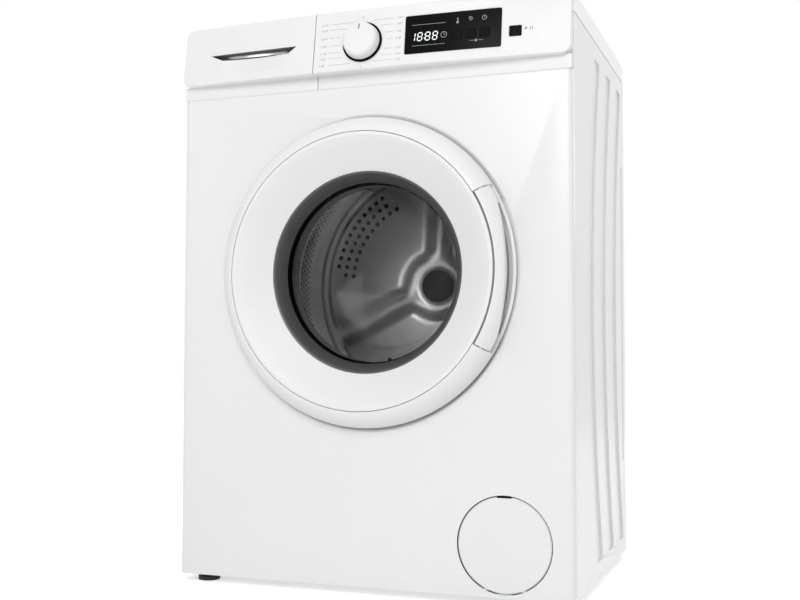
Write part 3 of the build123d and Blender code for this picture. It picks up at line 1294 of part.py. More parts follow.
def drum_spider():
    f0 = DRUM_F1
    hub_f1 = f0 + SPIDER_HUB_T
    hub = rod_f(0, DOOR_Z, SPIDER_HUB_R, f0, hub_f1)
    half = SPIDER_ARM_W / 2
    tip = SPIDER_TIP_W / 2
    reach = DRUM_R - SPIDER_INSET
    outline = [(0, -half), (reach, -tip), (reach, tip), (0, half)]
    arm = plate_xz([(x, DOOR_Z + z) for x, z in outline], f0, f0 + SPIDER_ARM_T)
    for i in range(LIFTER_COUNT):
        hub += arm.rotate(DOOR_AXIS, 360 / LIFTER_COUNT * i)
    return hub - rod_f(0, DOOR_Z, SHAFT_R + SEAT_FIT, f0 + SHAFT_SEAT, hub_f1 + PAST)


def drum_shaft():
    shaft = rod_f(0, DOOR_Z, SHAFT_R, DRUM_F1 + SHAFT_SEAT, HUB_F1)
    return shaft + rod_f(0, DOOR_Z, SHAFT_END_R, HUB_F1 - PAST, PULLEY_F1 + SHAFT_SEAT)


def drum_pulley():
    f0 = PULLEY_F0
    f1 = PULLEY_F1
    rim = ring([(PULLEY_R, f0), (PULLEY_R, f1), (PULLEY_R - PULLEY_RIM, f1), (PULLEY_R - PULLEY_RIM, f0)])
    hub = rod_f(0, DOOR_Z, PULLEY_HUB_R, f0, f1)
    middle = (f0 + f1) / 2
    half = PULLEY_SPOKE_W / 2
    spoke = box(0, PULLEY_R - PULLEY_RIM / 2, middle - PULLEY_SPOKE_T / 2, middle + PULLEY_SPOKE_T / 2,
                DOOR_Z - half, DOOR_Z + half)
    for i in range(PULLEY_SPOKES):
        hub += spoke.rotate(DOOR_AXIS, 360 / PULLEY_SPOKES * i)
    return rim + hub - rod_f(0, DOOR_Z, SHAFT_END_R + SEAT_FIT, f0 - PAST, f1 + PAST)


def motor_pulley():
    pulley = rod_f(MOTOR_X, MOTOR_Z, MOTOR_PULLEY_R, PULLEY_F0, PULLEY_F1)
    return pulley - rod_f(MOTOR_X, MOTOR_Z, MOTOR_SHAFT_R + RUN_FIT, PULLEY_F0 - PAST, PULLEY_F1 + PAST)


# Suspension and hoses


def suspension_springs():
    """The two hanging springs, as the sleeves that their close turns fill."""
    spring = rod_z(SPRING_X, HANG_F, SPRING_R, SPRING_SEAT_Z, BAR_Z0)
    spring -= rod_z(SPRING_X, HANG_F, SPRING_R - SPRING_WIRE, SPRING_SEAT_Z - PAST, BAR_Z0 + PAST)
    return spring + mirrored(spring)


def damper_cylinders():
    foot_top = BASE_FLOOR_Z + DAMPER_FOOT_H
    half = DAMPER_FOOT_T / 2
    tube = rod_z(DAMPER_X, DAMPER_F, DAMPER_R, foot_top, DAMPER_TOP_Z)
    tube += box(DAMPER_X - DAMPER_R, DAMPER_X + DAMPER_R, DAMPER_F - half, DAMPER_F + half,
                BASE_FLOOR_Z, foot_top + PAST)
    tube -= rod_z(DAMPER_X, DAMPER_F, DAMPER_ROD_R + DAMPER_GAP, foot_top + DAMPER_FLOOR, DAMPER_TOP_Z + PAST)
    return tube + mirrored(tube)


def damper_rods():
    tip_z = BASE_FLOOR_Z + DAMPER_FOOT_H + DAMPER_ROD_TIP
    rod = rod_z(DAMPER_X, DAMPER_F, DAMPER_ROD_R, tip_z, DAMPER_LUG_Z)
    return rod + mirrored(rod)


def hose(x, f, radius, z0, z1):
    bore = radius + HOSE_GAP
    return rod_z(x, f, bore + HOSE_T, z0, z1) - rod_z(x, f, bore, z0 - PAST, z1 + PAST)


def dispenser_hose():
    near_x = abs(FEED_X) - FEED_R - HOSE_T - PAST
    feed_z = DOOR_Z + sqrt(TUB_R**2 - near_x**2) + PAST
    return hose(FEED_X, FEED_F, FEED_R, feed_z, housing_box(HOUSING_WALL)[4] - HOSE_GAP)


def sump_hose():
    near_x = SUMP_X - SUMP_R - HOSE_T - PAST
    sump_z = DOOR_Z - sqrt(TUB_R**2 - near_x**2) - PAST
    return hose(SUMP_X, SUMP_F, SUMP_R, pump_stub_z() - STUB_L, sump_z)


def pump_stub_z():
    """The top of the pump's inlet stub."""
    return FLAP_Z + sqrt(PUMP_R**2 - SUMP_SIDE**2) + STUB_L + SUMP_R


# Pump, filter and flap


def drain_pump():
    f0, f1 = PUMP_F
    top = pump_stub_z()
    half = PUMP_FOOT_HALF
    body = rod_f(FLAP_X, FLAP_Z, PUMP_R, f0, f1)
    body += rod_f(FLAP_X, FLAP_Z, PUMP_MOTOR_R, f1 - PAST, f1 + PUMP_MOTOR_L)
    body += rod_z(SUMP_X, SUMP_F, SUMP_R, FLAP_Z, top)
    body += box(FLAP_X - half, FLAP_X + half, f0 + PUMP_FOOT_INSET, f1 - PUMP_FOOT_INSET,
                BASE_FLOOR_Z, FLAP_Z)
    body -= rod_f(FLAP_X, FLAP_Z, PUMP_BORE_R, f0 - PAST, f0 + FILTER_LENGTH + PUMP_BORE_SPARE)
    return body - rod_z(SUMP_X, SUMP_F, SUMP_R - STUB_WALL, FLAP_Z + PUMP_BORE_R / 2, top + PAST)


def pump_filter():
    """The screw-in filter: a cap with a grip bar, and a cup that fills the pump's bore."""
    f0 = PUMP_F[0] - SEAM
    cap_f0 = f0 - FILTER_T
    half = FILTER_GRIP_W / 2
    reach = FILTER_R - FILTER_GRIP_INSET
    cap = rod_f(FLAP_X, FLAP_Z, FILTER_R, cap_f0, f0)
    cap += box(FLAP_X - reach, FLAP_X + reach, cap_f0 - FILTER_GRIP_H, f0 - PAST,
               FLAP_Z - half, FLAP_Z + half)
    cap += rod_f(FLAP_X, FLAP_Z, PUMP_BORE_R - FILTER_GAP, f0 - PAST, f0 + FILTER_LENGTH)
    bore = PUMP_BORE_R - FILTER_WALL
    return cap - rod_f(FLAP_X, FLAP_Z, bore, f0 + FILTER_FLOOR, f0 + FILTER_LENGTH + PAST)


def filter_flap():
    """The round flap, with a bevelled edge, a finger notch at its top and a hinge pin along its back."""
    disc = rod_f(FLAP_X, FLAP_Z, FLAP_R, 0, FLAP_T)
    disc = chamfer(disc.edges().sort_by(Axis.Y)[0], FLAP_EDGE)
    top = FLAP_Z + FLAP_R
    half = FLAP_NOTCH_W / 2
    disc -= box(FLAP_X - half, FLAP_X + half, -PAST, FLAP_T + PAST, top - FLAP_NOTCH_H, top + PAST)
    reach = FLAP_LUG_X + FLAP_LUG_T
    return disc + rod_x(FLAP_AXIS_F, FLAP_AXIS_Z, FLAP_PIN_R, FLAP_X - reach, FLAP_X + reach)


# Fittings on the rear panel


def inlet_valve():
    half = INLET_BODY_W / 2
    end_f = CAB_D + REAR_REACH
    body = box(INLET_X - half, INLET_X + half, REAR_F - INLET_BODY_D, REAR_F, INLET_Z - half, INLET_Z + half)
    body += rod_f(INLET_X, INLET_Z, INLET_COLLAR_R, REAR_F - PAST, CAB_D)
    body += rod_f(INLET_X, INLET_Z, INLET_R, REAR_F, end_f)
    return body - rod_f(INLET_X, INLET_Z, INLET_BORE, CAB_D, end_f + PAST)


def drain_outlet():
    f0 = REAR_F - FITTING_T
    end_f = CAB_D + REAR_REACH
    outlet = rod_f(DRAIN_X, DRAIN_Z, DRAIN_FLANGE_R, f0, REAR_F)
    outlet += rod_f(DRAIN_X, DRAIN_Z, DRAIN_COLLAR_R, REAR_F - PAST, CAB_D)
    outlet += rod_f(DRAIN_X, DRAIN_Z, DRAIN_R, REAR_F, end_f)
    return outlet - rod_f(DRAIN_X, DRAIN_Z, DRAIN_BORE, f0 - PAST, end_f + PAST)


def cord_gland():
    f0 = REAR_F - GLAND_TAIL
    f1 = CAB_D + FITTING_T
    gland = rod_f(GLAND_X, GLAND_Z, GLAND_R, f0, CAB_D + PAST)
    gland += rod_f(GLAND_X, GLAND_Z, GLAND_FLANGE_R, CAB_D, f1)
    return gland - rod_f(GLAND_X, GLAND_Z, GLAND_BORE, f0 - PAST, f1 + PAST)


def cap_places():
    return [(side * CAP_X, DOOR_Z + step * CAP_SPREAD) for side in (-1, 1) for step in (-1, 1)]


def cap_plug(radius, length):
    """The eight-sided plug of a transit bolt cap, running forwards from its origin."""
    return Rot(90, 0, 0) * extrude(RegularPolygon(radius, 8), length)


def transit_caps():
    caps = []
    for x, z in cap_places():
        plug = Pos(x, CAB_D + PAST, z) * cap_plug(CAP_PLUG_R, CAP_PLUG_L + PAST)
        caps.append(plug + rod_f(x, z, CAP_R, CAB_D, CAB_D + CAP_T))
    return caps[0] + caps[1:]


parts = {
    "front_panel": front_panel(),
    "right_side_panel": side_panel(),
    "left_side_panel": mirrored(side_panel()),
    "rear_panel": rear_panel(),
    "rear_cover": rear_cover(),
    "base_tray": base_tray(),
    "worktop": worktop(),
    "cross_bars": cross_bars(),
    "control_panel": control_panel(),
    "knob_ring": knob_ring(),
    "program_knob": program_knob(),
    "display_window": display_window(),
    "start_button": start_button(),
    "control_board": control_board(),
    "drawer_front": drawer_front(),
    "drawer_tray": drawer_tray(),
    "dispenser_housing": dispenser_housing(),
    "door_frame": door_frame(),
    "door_trim": door_trim(),
    "door_glass": door_glass(),
    "door_back_ring": door_back_ring(),
    "door_handle": door_handle(),
    "hinge_bracket": hinge_bracket(),
    "hinge_arm": hinge_arm(),
    "latch_hook": latch_hook(),
    "door_lock": door_lock(),
    "door_seal": door_seal(),
    "tub_front": tub_front(),
    "tub_rear": tub_rear(),
    "heater": heater(),
    "top_counterweight": top_counterweight(),
    "front_counterweight": front_counterweight(),
    "drum_bearings": drum_bearings(),
    "drive_motor": drive_motor(),
    "drive_belt": drive_belt(),
    "drum_shell": drum_shell(),
    "drum_lifters": drum_lifters(),
    "drum_spider": drum_spider(),
    "drum_shaft": drum_shaft(),
    "drum_pulley": drum_pulley(),
    "motor_pulley": motor_pulley(),
    "suspension_springs": suspension_springs(),
    "damper_cylinders": damper_cylinders(),
    "damper_rods": damper_rods(),
    "dispenser_hose": dispenser_hose(),
    "sump_hose": sump_hose(),
    "drain_pump": drain_pump(),
    "pump_filter": pump_filter(),
    "filter_flap": filter_flap(),
    "inlet_valve": inlet_valve(),
    "drain_outlet": drain_outlet(),
    "cord_gland": cord_gland(),
    "transit_caps": transit_caps(),
}
for number in range(len(OPTION_X)):
    parts[f"option_button_{number + 1}"] = option_button(number)
for place, (x, f) in zip(("front_left", "front_right", "rear_left", "rear_right"), foot_places()):
    parts[f"foot_{place}"] = foot(x, f)

os.makedirs("parts", exist_ok=True)
for node, shape in parts.items():
    export_step(Pos(0, FRONT_Y, 0) * shape, f"parts/{node}.step")
print(len(parts), "nodes, front sheet at y =", FRONT_Y)
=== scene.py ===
# %% [markdown]
# # A front load washing machine
# The machine is a box of enamelled steel with moulded plastic in front: a leaning control panel, a
# drawer for detergent, a porthole door and a small round flap over the pump filter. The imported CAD
# model gives every piece its true size and place. This lesson gives the pieces their edges, their
# finishes and the fine detail, and lights them like a catalogue picture.

# %% Load the frame
import json
import math
import bmesh
import bpy
from mathutils import Matrix, Vector
from mathutils.bvhtree import BVHTree


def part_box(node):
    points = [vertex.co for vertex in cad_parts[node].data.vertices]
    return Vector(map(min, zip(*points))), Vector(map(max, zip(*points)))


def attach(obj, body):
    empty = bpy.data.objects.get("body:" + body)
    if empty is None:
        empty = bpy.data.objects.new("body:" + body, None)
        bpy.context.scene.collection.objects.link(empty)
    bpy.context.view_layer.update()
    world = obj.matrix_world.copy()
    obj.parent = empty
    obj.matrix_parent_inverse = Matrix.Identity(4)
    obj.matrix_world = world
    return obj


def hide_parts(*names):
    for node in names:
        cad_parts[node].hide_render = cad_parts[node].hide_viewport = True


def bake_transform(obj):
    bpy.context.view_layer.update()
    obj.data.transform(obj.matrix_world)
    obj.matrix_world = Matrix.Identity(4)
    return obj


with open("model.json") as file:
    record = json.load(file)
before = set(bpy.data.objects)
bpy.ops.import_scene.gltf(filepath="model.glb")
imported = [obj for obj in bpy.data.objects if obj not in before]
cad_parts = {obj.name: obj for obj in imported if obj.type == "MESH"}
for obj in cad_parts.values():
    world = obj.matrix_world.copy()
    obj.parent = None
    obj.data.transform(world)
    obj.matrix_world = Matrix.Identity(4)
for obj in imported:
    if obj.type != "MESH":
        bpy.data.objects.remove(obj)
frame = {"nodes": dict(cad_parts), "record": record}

MM = 0.001
NODES = frame["nodes"]
SLOT_OF = {part["node"]: part["material_slot"] for part in frame["record"]["subparts"]}
BODY_OF = {node: body for body, nodes in frame["record"]["behaviour"]["bodies"].items() for node in nodes}
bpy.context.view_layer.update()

# %% [markdown]
# ## Helpers for materials
# Colours are written as sRGB hex codes, as a colour card gives them, and a shader wants linear light,
# so one function converts them. A second one adds any node with its settings, its values and its links
# in one line, which keeps every material short.

# %% Helpers for materials
def linear(hex_code):
    """An sRGB hex colour as linear red, green, blue and alpha, by the standard's own formula."""
    channels = [int(hex_code[i:i + 2], 16) / 255 for i in (1, 3, 5)]
    light = [c / 12.92 if c <= 0.04045 else ((c + 0.055) / 1.055) ** 2.4 for c in channels]
    return light + [1.0]


def add_node(tree, kind, inputs=None, **settings):
    """One node, its settings, and its inputs: a socket is linked and anything else is a plain value."""
    node = tree.nodes.new(kind)
    for name, value in settings.items():
        setattr(node, name, value)
    for name, value in (inputs or {}).items():
        if isinstance(value, bpy.types.NodeSocket):
            tree.links.new(value, node.inputs[name])
        else:
            node.inputs[name].default_value = value
    return node


print("colour check", [round(c, 3) for c in linear("#808080")])

# %% [markdown]
# ## Helpers for finishes
# Most finishes here are one Principled shader and one fine noise, which dents the surface a little and
# lets its colour or its shine drift. A picture of the surface would repeat and blur, while a noise in
# millimetres has the right size on every piece. So there is a plain finish, a grain, a pattern that moves
# a value up and down, and the three together.

# %% Helpers for finishes
def per_size(size_mm):
    """The texture scale at which one cell of a pattern is as wide as this."""
    return 1 / (size_mm * MM)


def finish_of(name, colour, **sockets):
    """A material with one Principled shader: the material, its tree, the shader and object coordinates."""
    material = bpy.data.materials.new(name)
    material.use_nodes = True
    tree = material.node_tree
    shader = tree.nodes["Principled BSDF"]
    for socket, value in {"Base_Color": colour, **sockets}.items():
        value = linear(value) if isinstance(value, str) else value
        shader.inputs[socket.replace("_", " ")].default_value = value
    place = add_node(tree, "ShaderNodeTexCoord").outputs["Object"]
    print("finish", name)
    return material, tree, shader, place


def grain(tree, shader, place, size_mm, depth_mm, detail=2.0):
    """A fine bump of one grain size and depth, the mark of a mould, a roller or a spray gun."""
    noise = add_node(tree, "ShaderNodeTexNoise",
                     {"Vector": place, "Scale": per_size(size_mm), "Detail": detail})
    bump = add_node(tree, "ShaderNodeBump", {"Height": noise.outputs["Fac"], "Distance": depth_mm * MM})
    tree.links.new(bump.outputs["Normal"], shader.inputs["Normal"])
    return noise.outputs["Fac"]


def vary(tree, shader, fac, socket, low, high):
    """Lets a pattern move a socket between two values: two numbers, or two hex colours."""
    if isinstance(low, str):
        # In a Mix node of colours, inputs 6 and 7 and output 2 are the ones for colour.
        mix = add_node(tree, "ShaderNodeMix", {0: fac, 6: linear(low), 7: linear(high)}, data_type="RGBA")
        tree.links.new(mix.outputs[2], shader.inputs[socket])
    else:
        span = add_node(tree, "ShaderNodeMapRange", {"Value": fac, "To Min": low, "To Max": high})
        tree.links.new(span.outputs["Result"], shader.inputs[socket])


def grained(name, colour, grain_mm, deep_mm, tones=None, roughness=None, detail=2.0, **sockets):
    """A finish with one fine grain, over which its colour and its roughness may lie between two values."""
    material, tree, shader, place = finish_of(name, colour, **sockets)
    fine = grain(tree, shader, place, grain_mm, deep_mm, detail)
    if tones:
        vary(tree, shader, fine, "Base Color", *tones)
    if roughness:
        vary(tree, shader, fine, "Roughness", *roughness)
    return material


print("a 1 mm grain has the scale", per_size(1.0))

# %% [markdown]
# ## The camera
# A picture is matched in the camera before anything else: where it stands, which way it looks and how
# long its lens is. These came from fitting the cabinet's edges, the door's circles and the flap to
# where they lie in the picture. The camera stands to the right, low, and looks up a little.

# %% The camera
IMAGE_WIDTH_PX = 800
FOCAL_PX = 1097.7
CAMERA_PLACE = Vector((0.5857, -1.6625, 0.3391))
YAW = math.radians(20.146)
PITCH = math.radians(2.887)
ROLL = math.radians(0.136)
SENSOR_MM = 36.0

ahead = Vector((-math.sin(YAW) * math.cos(PITCH), math.cos(YAW) * math.cos(PITCH), math.sin(PITCH)))
level = Vector((math.cos(YAW), math.sin(YAW), 0.0))
upward = level.cross(ahead)
across = level * math.cos(ROLL) + upward * math.sin(ROLL)
upward = upward * math.cos(ROLL) - level * math.sin(ROLL)
lens = bpy.data.cameras.new("photo_camera")
lens.sensor_fit = "HORIZONTAL"
lens.sensor_width = SENSOR_MM
lens.lens = FOCAL_PX / IMAGE_WIDTH_PX * SENSOR_MM
camera = bpy.data.objects.new("photo_camera", lens)
turn = Matrix((across, upward, -ahead)).transposed()
camera.matrix_world = Matrix.Translation(CAMERA_PLACE) @ turn.to_4x4()
bpy.context.scene.collection.objects.link(camera)
bpy.context.scene.camera = camera
bpy.context.scene.view_settings.view_transform = "Standard"
print("lens", round(lens.lens, 2), "mm")

# %% [markdown]
# ## The white tent
# Catalogue pictures of white goods are taken in a white tent, where light comes from everywhere. The
# world is the tent. Seen directly, in a reflection or through glass it is plain white, and for lighting
# it is dimmer, so that white enamel stays just below white. Light Path tells the two kinds of ray apart.

# %% The white tent
TENT_LIGHT = 0.53


def in_view(tree):
    """1 for a ray that is seen, directly, in a mirror or through glass, and 0 for one that only lights."""
    rays = add_node(tree, "ShaderNodeLightPath").outputs
    seen = rays["Is Camera Ray"]
    for kind in ("Is Glossy Ray", "Is Transmission Ray"):
        seen = add_node(tree, "ShaderNodeMath", {0: seen, 1: rays[kind]}, operation="MAXIMUM").outputs[0]
    return seen


world = bpy.data.worlds.new("white_tent")
bpy.context.scene.world = world
world.use_nodes = True
tent = world.node_tree
strength = add_node(tent, "ShaderNodeMapRange",
                    {"Value": in_view(tent), "To Min": TENT_LIGHT, "To Max": 1.0})
sky = tent.nodes["Background"]
sky.inputs["Color"].default_value = linear("#ffffff")
tent.links.new(strength.outputs["Result"], sky.inputs["Strength"])
print("tent light", TENT_LIGHT)

# %% [markdown]
# ## The floor
# The machine stands on a sweep of white paper. Paper under a lamp is never quite white, so it glows a
# little, but only where it is seen. That keeps it white, it still takes the machine's shadow, and it
# throws no extra light on the sides.

# %% The floor
FLOOR_GLOW = 0.52
FLOOR_HALF = 6.0
paper, tree, shader, _ = finish_of("white_paper_floor", "#f4f4f4", Roughness=0.9, Emission_Color="#ffffff")
glow = add_node(tree, "ShaderNodeMapRange", {"Value": in_view(tree), "To Min": 0.0, "To Max": FLOOR_GLOW})
tree.links.new(glow.outputs["Result"], shader.inputs["Emission Strength"])
floor_mesh = bpy.data.meshes.new("studio_floor")
corners = [(x * FLOOR_HALF, y * FLOOR_HALF, 0) for x, y in ((-1, -1), (1, -1), (1, 1), (-1, 1))]
floor_mesh.from_pydata(corners, [], [(0, 1, 2, 3)])
floor_mesh.materials.append(paper)
floor = bpy.data.objects.new("studio_floor", floor_mesh)
bpy.context.scene.collection.objects.link(floor)
print("floor", 2 * FLOOR_HALF, "m wide")

# %% [markdown]
# ## The lamps
# The tent alone would leave the form flat. A large lamp in front gives it shade, a weak one above lights
# the worktop, and one behind on the right grazes the side, so that its pressed ribs show as soft lines.

# %% The lamps
def area_lamp(name, at, aim, size, power):
    """A square soft lamp at one point that looks at another."""
    lamp = bpy.data.lights.new(name, "AREA")
    lamp.shape = "SQUARE"
    lamp.size = size
    lamp.energy = power
    holder = bpy.data.objects.new(name, lamp)
    aim_line = Vector(aim) - Vector(at)
    holder.matrix_world = Matrix.Translation(at) @ aim_line.to_track_quat("-Z", "Y").to_matrix().to_4x4()
    bpy.context.scene.collection.objects.link(holder)


area_lamp("key_lamp", at=(0.3, -2.8, 1.7), aim=(0.0, 0.0, 0.5), size=1.5, power=35.0)
area_lamp("top_lamp", at=(0.3, -0.4, 2.9), aim=(0.0, 0.0, 0.6), size=2.0, power=8.0)
area_lamp("back_lamp", at=(2.0, 2.0, 1.4), aim=(0.0, 0.2, 0.5), size=1.2, power=16.0)

# %% [markdown]
# ## White enamel on steel
# The cabinet is pressed sheet steel, sprayed white and baked. It is glossy, and a close look shows the
# faint orange peel of the spray. A noise about 3 mm wide makes that, with a depth of a few thousandths
# of a millimetre, and a wide, weak noise lets the white drift as it does over a large sheet.

# %% White enamel on steel
ORANGE_PEEL_MM, PEEL_DEEP_MM, SHEET_DRIFT_MM = 3.0, 0.004, 420.0
enamel, tree, shader, place = finish_of("white_enamel", "#ececec", Specular_IOR_Level=0.35, Coat_Weight=0.1,
                                        Coat_Roughness=0.1)
grain(tree, shader, place, ORANGE_PEEL_MM, PEEL_DEEP_MM)
drift = add_node(tree, "ShaderNodeTexNoise",
                 {"Vector": place, "Scale": per_size(SHEET_DRIFT_MM), "Detail": 1.0})
vary(tree, shader, drift.outputs["Fac"], "Base Color", "#eaeaea", "#eeeeee")
vary(tree, shader, drift.outputs["Fac"], "Roughness", 0.22, 0.28)

# %% [markdown]
# ## Moulded white plastic
# The control panel, the drawer front, the knob, the door ring and the flap are ABS, moulded with a
# polished tool. It is softer to the eye than enamel, so its gloss is lower, and the polish of the tool
# shows as a very fine grain. The grain is drawn coarser than it is, or it would not show at all.

# %% Moulded white plastic
MOULD_GRAIN_MM, MOULD_DEEP_MM, MOULD_DRIFT_MM = 0.8, 0.003, 180.0
abs_white, tree, shader, place = finish_of("white_abs", "#eaeaea", IOR=1.5)
fine = grain(tree, shader, place, MOULD_GRAIN_MM, MOULD_DEEP_MM)
drift = add_node(tree, "ShaderNodeTexNoise",
                 {"Vector": place, "Scale": per_size(MOULD_DRIFT_MM), "Detail": 1.0})
vary(tree, shader, drift.outputs["Fac"], "Base Color", "#e9e9e9", "#ececec")
vary(tree, shader, fine, "Roughness", 0.38, 0.46)

# %% [markdown]
# ## White laminate
# The worktop is a chipboard slab under melamine paper, pressed against an embossed plate. The emboss
# is a soft pebble of about 1 mm, and it is what makes the top less shiny than the enamel beside it.

# %% White laminate
laminate = grained("white_laminate", "#f2f2f2", grain_mm=1.2, deep_mm=0.02, detail=3.0,
                   tones=("#f0f0f0", "#f4f4f4"), roughness=(0.38, 0.5))

# %% [markdown]
# ## Galvanised steel
# The back, the base and the brackets are zinc-coated sheet. Zinc freezes in flat crystals, the spangle,
# each of which mirrors a little differently. A Voronoi pattern with a cell of about 9 mm gives each
# crystal its own grey and its own roughness.

# %% Galvanised steel
SPANGLE_MM = 9.0
zinc, tree, shader, place = finish_of("galvanised_steel", "#a9adaf", Metallic=1.0)
cells = add_node(tree, "ShaderNodeTexVoronoi", {"Vector": place, "Scale": per_size(SPANGLE_MM)})
tone = add_node(tree, "ShaderNodeSeparateColor", {"Color": cells.outputs["Color"]})
vary(tree, shader, tone.outputs["Red"], "Base Color", "#a9adb0", "#b9bdbf")
vary(tree, shader, tone.outputs["Green"], "Roughness", 0.34, 0.5)

# %% [markdown]
# ## Polypropylene
# The drawer's tray, the tub and the pump are polypropylene with chalk in it: waxy, matt, slightly grey.
# One fine grain moves both its grey and its roughness, which takes the hard shine off it.

# %% Polypropylene
polypropylene = grained("polypropylene", "#d2d4d2", grain_mm=1.0, deep_mm=0.01,
                        tones=("#cfd1cf", "#d6d8d6"), roughness=(0.45, 0.58))

# %% [markdown]
# ## Black plastics
# The display's window and the ring round the knob are gloss black acrylic, and the keys are a duller
# one. The feet, the latch and the small fittings are matt black nylon, and the same black is painted shade
# in the drum's holes and at its hub. Black that is truly dark needs a low specular level in a white tent,
# because the tent mirrors in it from every side.

# %% Black plastics
acrylic = grained("black_acrylic", "#080809", grain_mm=6.0, deep_mm=0.002, roughness=(0.1, 0.16),
                  Specular_IOR_Level=0.07)
key_acrylic = grained("black_key_acrylic", "#141415", grain_mm=0.8, deep_mm=0.004, roughness=(0.26, 0.36),
                      Specular_IOR_Level=0.03)
# This black is the nylon parts' own, and on the drum's holes and hub it is painted shade.
nylon_and_painted_shade = grained("black_nylon_and_painted_shade", "#2a2b2c", grain_mm=0.9, deep_mm=0.02, tones=("#262728", "#303132"),
                roughness=(0.48, 0.62), Specular_IOR_Level=0.3)

# %% [markdown]
# ## Grey plastics
# The lifters of the drum are dark grey ABS, and the same dark grey is painted shade inside the drawer's
# grip. A lighter grey is painted shade in the hollow for the fingers in the door's ring, and the rim round
# the glass is a darker, smoother grey. All are moulded with the same tool finish, so they share one grain
# and differ in tone and shine.

# %% Grey plastics
# This grey is the lifters' own colour, and in the drawer's grip it is painted shade.
lifter_grey_and_painted_shade = grained("grey_abs_lifter_and_painted_shade", "#6b6c6d", MOULD_GRAIN_MM, deep_mm=0.01,
                      tones=("#666768", "#717273"), Roughness=0.5, Specular_IOR_Level=0.3)
# A lighter grey, painted shade in the finger hollow of the door's ring.
well_painted_shade = grained("grey_well_painted_shade", "#a4a5a6", MOULD_GRAIN_MM, deep_mm=0.01,
                    tones=("#9fa0a1", "#a9aaab"), Roughness=0.5)
bezel_grey = grained("grey_abs_bezel", "#545556", MOULD_GRAIN_MM, deep_mm=0.006,
                     roughness=(0.32, 0.42), Specular_IOR_Level=0.35)

# %% [markdown]
# ## Metals inside
# The drum is stainless sheet, brushed along its length before it is rolled, so the streaks run round
# the drum. A noise that is stretched across the drum's axis draws them. The spider, the pulley and the
# motor's shell are cast aluminium, with the grainy skin that sand or a die leaves.

# %% Metals inside
BRUSH_MM, BRUSH_STRETCH = 1.2, (0.08, 1.0, 0.08)
stainless, tree, shader, place = finish_of("stainless_steel", "#d6d7d8", Metallic=1.0)
stretch = add_node(tree, "ShaderNodeMapping", {"Vector": place, "Scale": BRUSH_STRETCH})
streak = add_node(tree, "ShaderNodeTexNoise",
                  {"Vector": stretch.outputs["Vector"], "Scale": per_size(BRUSH_MM), "Detail": 3.0})
vary(tree, shader, streak.outputs["Fac"], "Roughness", 0.34, 0.48)
vary(tree, shader, streak.outputs["Fac"], "Base Color", "#cbcccd", "#dfe0e1")
cast = grained("cast_aluminium", "#b3b4b6", grain_mm=1.5, deep_mm=0.05, detail=4.0, roughness=(0.42, 0.62),
               Metallic=1.0)

# %% [markdown]
# ## Rubber and concrete
# The bellows round the door and the two hoses are grey EPDM rubber with a dusting of talc. The belt is
# black rubber, and the same black is painted shade in the joint under the worktop. The two counterweights
# are concrete, cast in a mould: pale, speckled and rough. One noise makes talc, rubber and grit, with
# another size and depth for each.

# %% Rubber and concrete
epdm = grained("grey_epdm", "#66686a", grain_mm=2.5, deep_mm=0.02, detail=3.0, tones=("#606264", "#6d6f71"),
               Roughness=0.62, Specular_IOR_Level=0.35)
# This black is the belt's own, and in the joint under the worktop it is painted shade.
belt_rubber_and_painted_shade = grained("belt_rubber_and_painted_shade", "#1d1d1e", grain_mm=0.7, deep_mm=0.03, tones=("#18181a", "#242426"),
                      Roughness=0.7)
concrete = grained("concrete", "#96948f", grain_mm=4.0, deep_mm=0.3, detail=5.0,
                   tones=("#85837f", "#a8a6a1"), Roughness=0.9)

# %% [markdown]
# ## Clear grey glass
# The porthole is a thick pressed bowl of faintly grey glass. A path tracer finds few lamps through real
# glass, which leaves the drum behind it black. So the bowl is drawn as a thin pane: a tint that light
# passes straight through, and a mirror over it that grows towards grazing angles. The mirror is weaker
# than that of real glass, because the square lamps would show in it as bright patches.

# %% Clear grey glass
GLASS_IOR, MIRROR_FACING, MIRROR_GRAZING = 1.45, 0.004, 0.12
smoked = bpy.data.materials.new("smoked_glass")
smoked.use_nodes = True
tree = smoked.node_tree
clear = add_node(tree, "ShaderNodeBsdfTransparent", {"Color": linear("#f4f4f4")})
shine = add_node(tree, "ShaderNodeBsdfGlossy", {"Color": linear("#ffffff"), "Roughness": 0.03})
graze = add_node(tree, "ShaderNodeFresnel", {"IOR": GLASS_IOR})
mirror = add_node(tree, "ShaderNodeMapRange",
                  {"Value": graze.outputs[0], "To Min": MIRROR_FACING, "To Max": MIRROR_GRAZING})
pane = add_node(tree, "ShaderNodeMixShader",
                {0: mirror.outputs[0], 1: clear.outputs[0], 2: shine.outputs[0]})
tree.links.new(pane.outputs[0], tree.nodes["Material Output"].inputs["Surface"])
print("finish", smoked.name)

# %% [markdown]
# ## Inks, chrome and lit segments
# The panel is printed in grey ink, the knob's pointer in a dark one and the display in a soft white. The
# digits are light guides that glow. The drawer's grip holds a strip of chrome foil, bright as a mirror
# with only a trace of waviness. The grain of the inks stands for the speckle of a screen print.

